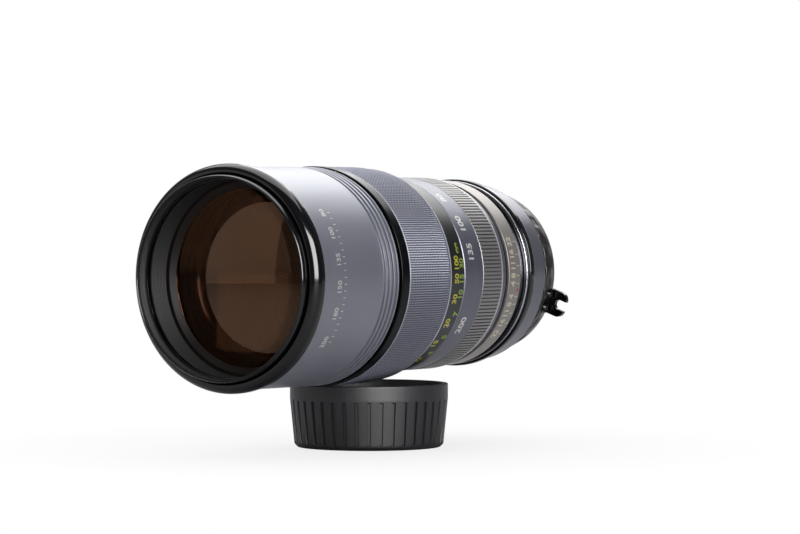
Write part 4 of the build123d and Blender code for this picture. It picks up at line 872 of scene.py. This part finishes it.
def figure(text, height, bold):
    """Points (n, 3) and triangles (m, 3) of a text of a given height, centred, in millimetres."""
    curve = bpy.data.curves.new("figure", "FONT")
    curve.body, curve.align_x, curve.align_y = text, "CENTER", "CENTER"
    curve.size, curve.extrude = height / CAPITAL_SHARE, FIGURE_THICKNESS
    curve.resolution_u, curve.offset = 3, bold
    holder = bpy.data.objects.new("figure", curve)
    mesh = bpy.data.meshes.new_from_object(holder)
    points = np.empty(len(mesh.vertices) * 3)
    mesh.vertices.foreach_get("co", points)
    mesh.calc_loop_triangles()
    faces = np.empty(len(mesh.loop_triangles) * 3, dtype=int)
    mesh.loop_triangles.foreach_get("vertices", faces)
    bpy.data.objects.remove(holder)
    bpy.data.meshes.remove(mesh)
    bpy.data.curves.remove(curve)
    return points.reshape(-1, 3), faces.reshape(-1, 3)


def tick(width, length):
    """Small flat bar: its eight corners and six sides, as triangles."""
    corner = np.array([[x, y, z] for z in (-1, 1) for y in (-1, 1) for x in (-1, 1)], float)
    quads = np.array([[0, 2, 3, 1], [4, 5, 7, 6], [0, 1, 5, 4], [2, 6, 7, 3], [0, 4, 6, 2],
                      [1, 3, 7, 5]])
    return (corner * [width / 2, length / 2, FIGURE_THICKNESS],
            np.concatenate([quads[:, :3], quads[:, [0, 2, 3]]]))


# %% Discs
DISC_SIDES, DISC_RIM, DISC_TOP, DISC_BASE = 20, 0.08, 0.12, -0.3


def disc(radius):
    """Low button, for a screw head or a dot of enamel: a circle below, a slightly smaller one
    above, and a middle point for each."""
    turn = turns(DISC_SIDES)[0]
    circle = radius * np.c_[np.cos(turn), np.sin(turn)]
    points = np.vstack([np.c_[circle, np.full(DISC_SIDES, DISC_BASE)],
                        np.c_[0.85 * circle, np.full(DISC_SIDES, DISC_RIM)],
                        [[0, 0, DISC_TOP]], [[0, 0, DISC_BASE]]])
    i = np.arange(DISC_SIDES)
    j = (i + 1) % DISC_SIDES
    low, high = i + DISC_SIDES, j + DISC_SIDES
    top, base = np.full_like(i, 2 * DISC_SIDES), np.full_like(i, 2 * DISC_SIDES + 1)
    return points, np.concatenate([np.c_[i, j, high], np.c_[i, high, low],
                                   np.c_[low, high, top], np.c_[j, i, base]])


# %% Marks bent round a ring
def add_marks(name, marks, surface, body, slot, finish):
    """Joins marks, each (points, faces, angle, station), bent on a surface of radius(station):
    angle + x / radius, station - y, radius + z."""
    places, faces, count = [], [], 0
    for points, triangles, angle, station in marks:
        row = station - points[:, 1]
        radius = surface(row)
        turn = np.radians(angle) + points[:, 0] / radius
        places.append(round_axis(row, radius + points[:, 2], turn))
        faces.append(triangles + count)
        count += len(points)
    return add_piece(name, np.concatenate(places), np.concatenate(faces), body, slot,
                     finish=finish, crease=20)


def numerals(texts, height, bold, station):
    """Marks of one row, from a dictionary of angles and texts."""
    return [(*figure(text, height, bold), angle, station) for angle, text in texts.items()]


# %% Focal lengths on the zoom ring
FOCAL_TEXTS = {51.9: "80", 31.4: "100", 13.5: "135", -30.9: "200"}
on_cone = taper(CONE_FRONT, rib_front, CONE_FRONT_RADIUS, CONE_REAR_RADIUS)
marks = numerals(FOCAL_TEXTS, height=3.6, bold=0.16, station=CONE_FRONT + 6.2)
add_marks("focal_numerals", marks, on_cone, "zoom", "satin_grey", "white_paint")

# %% [markdown]
# The two rows of distances are metres and feet. An angle that is inversely proportional to the
# distance is what a helicoid gives, so one formula places both rows.

# %% Distances on the scale ring
INFINITY_ANGLE, TURN_METRES, FOOT = 16.0, 270.0, 0.3048
on_scale = taper(scale_front, BAND_REAR, BAND_RADIUS, BAND_RADIUS - BAND_TAPER)


def distance_row(distances, unit, station):
    """Numerals at the angle of infinity minus TURN_METRES / (distance * unit)."""
    texts = {INFINITY_ANGLE - TURN_METRES / (distance * unit): str(distance)
             for distance in distances}
    return numerals(texts, height=2.9, bold=0.12, station=station)


metres = distance_row((30, 15, 10, 7, 5, 4, 3, 2.5, 2, 1.8), 1, BAND_REAR - 2.0)
feet = distance_row((100, 50, 30, 20, 15, 12, 10, 8, 7, 6), FOOT, BAND_REAR - 5.6)
infinity = numerals({INFINITY_ANGLE: "∞"}, height=3.4, bold=0.12, station=BAND_REAR - 3.6)
add_marks("metre_numerals", metres + infinity, on_scale, "focus", "scale_black", "green_paint")
add_marks("foot_numerals", feet, on_scale, "focus", "scale_black", "yellow_paint")

# %% Screw heads in the scale ring
DOT_RADIUS, SCREW_STATION = 0.8, -83.7
screws = [(*disc(DOT_RADIUS), angle, SCREW_STATION) for angle in (90, 210, 330)]
heads = add_marks("scale_screw_heads", screws, on_scale, "focus", "steel", "steel")
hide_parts("scale_screws")

# %% Depth of field on the index ring
INDEX_ANGLE, STOPS = -10.0, {4: "4", 9: "8", 15: "11", 22: "16", 30: "22"}
on_index = taper(index_front, index_rear, index_radius, index_radius)
stop_texts = {INDEX_ANGLE + side * angle: text for angle, text in STOPS.items() for side in (-1, 1)}
depth_marks = numerals(stop_texts, height=2.9, bold=0.14, station=index_front + 3.2)
depth_marks += [(*tick(0.35, 2.0), angle, index_front + 6.6) for angle in stop_texts]
add_marks("depth_numerals", depth_marks, on_index, "root", "index_silver", "cream_paint")

# %% Index dot
dot_low, dot_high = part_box("index_dot")
dot_station = (dot_low[1] + dot_high[1]) / 2 / MM
dot = add_marks("index_dot_enamel", [(*disc(DOT_RADIUS), INDEX_ANGLE, dot_station)], on_index,
                "root", "red_dot", "red_dot")
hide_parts("index_dot")

# %% Plain figures on the front barrel
BARREL_TEXTS = {36: "80", 24: "100", 10: "135", -4: "150", -18: "180", -34: "200"}
barrel_marks = numerals(BARREL_TEXTS, height=2.5, bold=0.06, station=barrel_front + 11.0)
barrel_marks += [(*tick(0.3, 1.6), angle, barrel_front + 14.6) for angle in np.arange(-34, 37, 3.5)]
add_marks("barrel_numerals", barrel_marks, on_barrel, "front_group", "satin_grey", "white_paint")

# %% [markdown]
# ## Studio
#
# The lens stands in a white studio: one large soft light overhead, a narrow one behind for the top
# edges of the rear rings, a weak one from the left that the coated glass mirrors, and a box at the
# right that draws the bright streaks on the black rim. The table is white to the camera and still
# keeps the shadow of the object.

# %% White by the kind of ray
VIEW_AWAY = (-math.sin(math.radians(VIEW_AZIMUTH)), math.cos(math.radians(VIEW_AZIMUTH)), 0.0)


def beyond(tree, place, start, end):
    """Ramp from 0 to 1 along the level direction that leads behind the object."""
    depth = add_node(tree, "VectorMath", {0: place, 1: VIEW_AWAY}, operation="DOT_PRODUCT")
    return add_node(tree, "MapRange", {"Value": depth.outputs["Value"], "From Min": start,
                                       "From Max": end}).outputs["Result"]


def white_share(tree, direct, behind):
    """Share of plain white: direct for a ray from the camera, behind for one that gloss or glass
    sends on, and none for the light that reaches matt surfaces."""
    seen = add_node(tree, "LightPath", {}).outputs
    mirrored = calculate(tree, "MAXIMUM", seen["Is Glossy Ray"], seen["Is Transmission Ray"])
    return calculate(tree, "MAXIMUM", calculate(tree, "MULTIPLY", seen["Is Camera Ray"], direct),
                     calculate(tree, "MULTIPLY", mirrored, behind))


# %% Table
TABLE_HALF, SHADOW_START, SHADOW_END, SHADOW_WHITE = 1.5, 0.03, 0.17, 0.82
table_height = cap_floor * MM
table_middle = (0.0, -0.09, table_height)
table_mesh = bpy.data.meshes.new("table")
table_mesh.from_pydata([(x * TABLE_HALF, y * TABLE_HALF, table_height)
                        for x, y in ((-1, -1), (1, -1), (1, 1), (-1, 1))], [], [(0, 1, 2, 3)])
table = add_object("table", table_mesh)
table_finish, tree, board = new_material("table_white")
feed(tree, board, {"Base Color": ink(184, 184, 186), "Roughness": 0.8})
place = add_node(tree, "TexCoord", {}).outputs["Object"]
away = add_node(tree, "VectorMath", {0: place, 1: table_middle}, operation="DISTANCE")
far = add_node(tree, "MapRange", {"Value": away.outputs["Value"], "From Min": SHADOW_START,
                                  "From Max": SHADOW_END, "To Min": SHADOW_WHITE})
share = white_share(tree, far.outputs["Result"], beyond(tree, place, 0.15, 0.5))
glow = add_node(tree, "Emission", {"Strength": 1.0})
blend = add_node(tree, "MixShader", {0: share, 1: board.outputs[0], 2: glow.outputs[0]})
feed(tree, tree.nodes["Material Output"], {"Surface": blend.outputs[0]})
table_mesh.materials.append(table_finish)
print("table at", round(table_height, 4), "m")

# %% World
AMBIENT, WHITE = (0.13, 0.13, 0.145, 1), (1, 1, 1, 1)
world = bpy.data.worlds.new("studio")
bpy.context.scene.world = world
world.use_nodes = True
tree = world.node_tree
place = add_node(tree, "TexCoord", {}).outputs["Generated"]
white = white_share(tree, 1.0, beyond(tree, place, 0.72, 0.95))
feed(tree, tree.nodes["Background"], {"Color": mix_colours(tree, white, AMBIENT, WHITE)})
print("world nodes:", len(tree.nodes))


# %% Lamps
LAMP_AIM = Vector((0.0, -0.10, 0.0))


def add_softbox(name, place, width, height, power, tint=(1, 1, 1), mirrored_only=False):
    """Rectangular lamp that faces the aim. One that is only mirrored draws its shape on gloss and
    adds no light to matt surfaces."""
    lamp = bpy.data.lights.new(name, "AREA")
    lamp.shape, lamp.size, lamp.size_y = "RECTANGLE", width, height
    lamp.energy, lamp.color = power, tint
    holder = add_object(name, lamp)
    holder.location = place
    holder.rotation_euler = (LAMP_AIM - Vector(place)).to_track_quat("-Z", "Y").to_euler()
    holder.visible_diffuse = not mirrored_only
    print(name, power, "W")


add_softbox("overhead", (-0.15, 0.05, 0.95), 1.3, 1.3, 15.5)
add_softbox("back_top", (-0.25, 0.85, 0.62), 0.9, 0.36, 3.4)
add_softbox("side_box", (0.93, -0.74, 0.33), 0.95, 0.70, 32.0, mirrored_only=True)
add_softbox("left_card", (-0.95, -1.15, 0.15), 1.2, 1.2, 2.5, (1.0, 0.93, 0.86))
bpy.context.scene.view_settings.view_transform = "Standard"
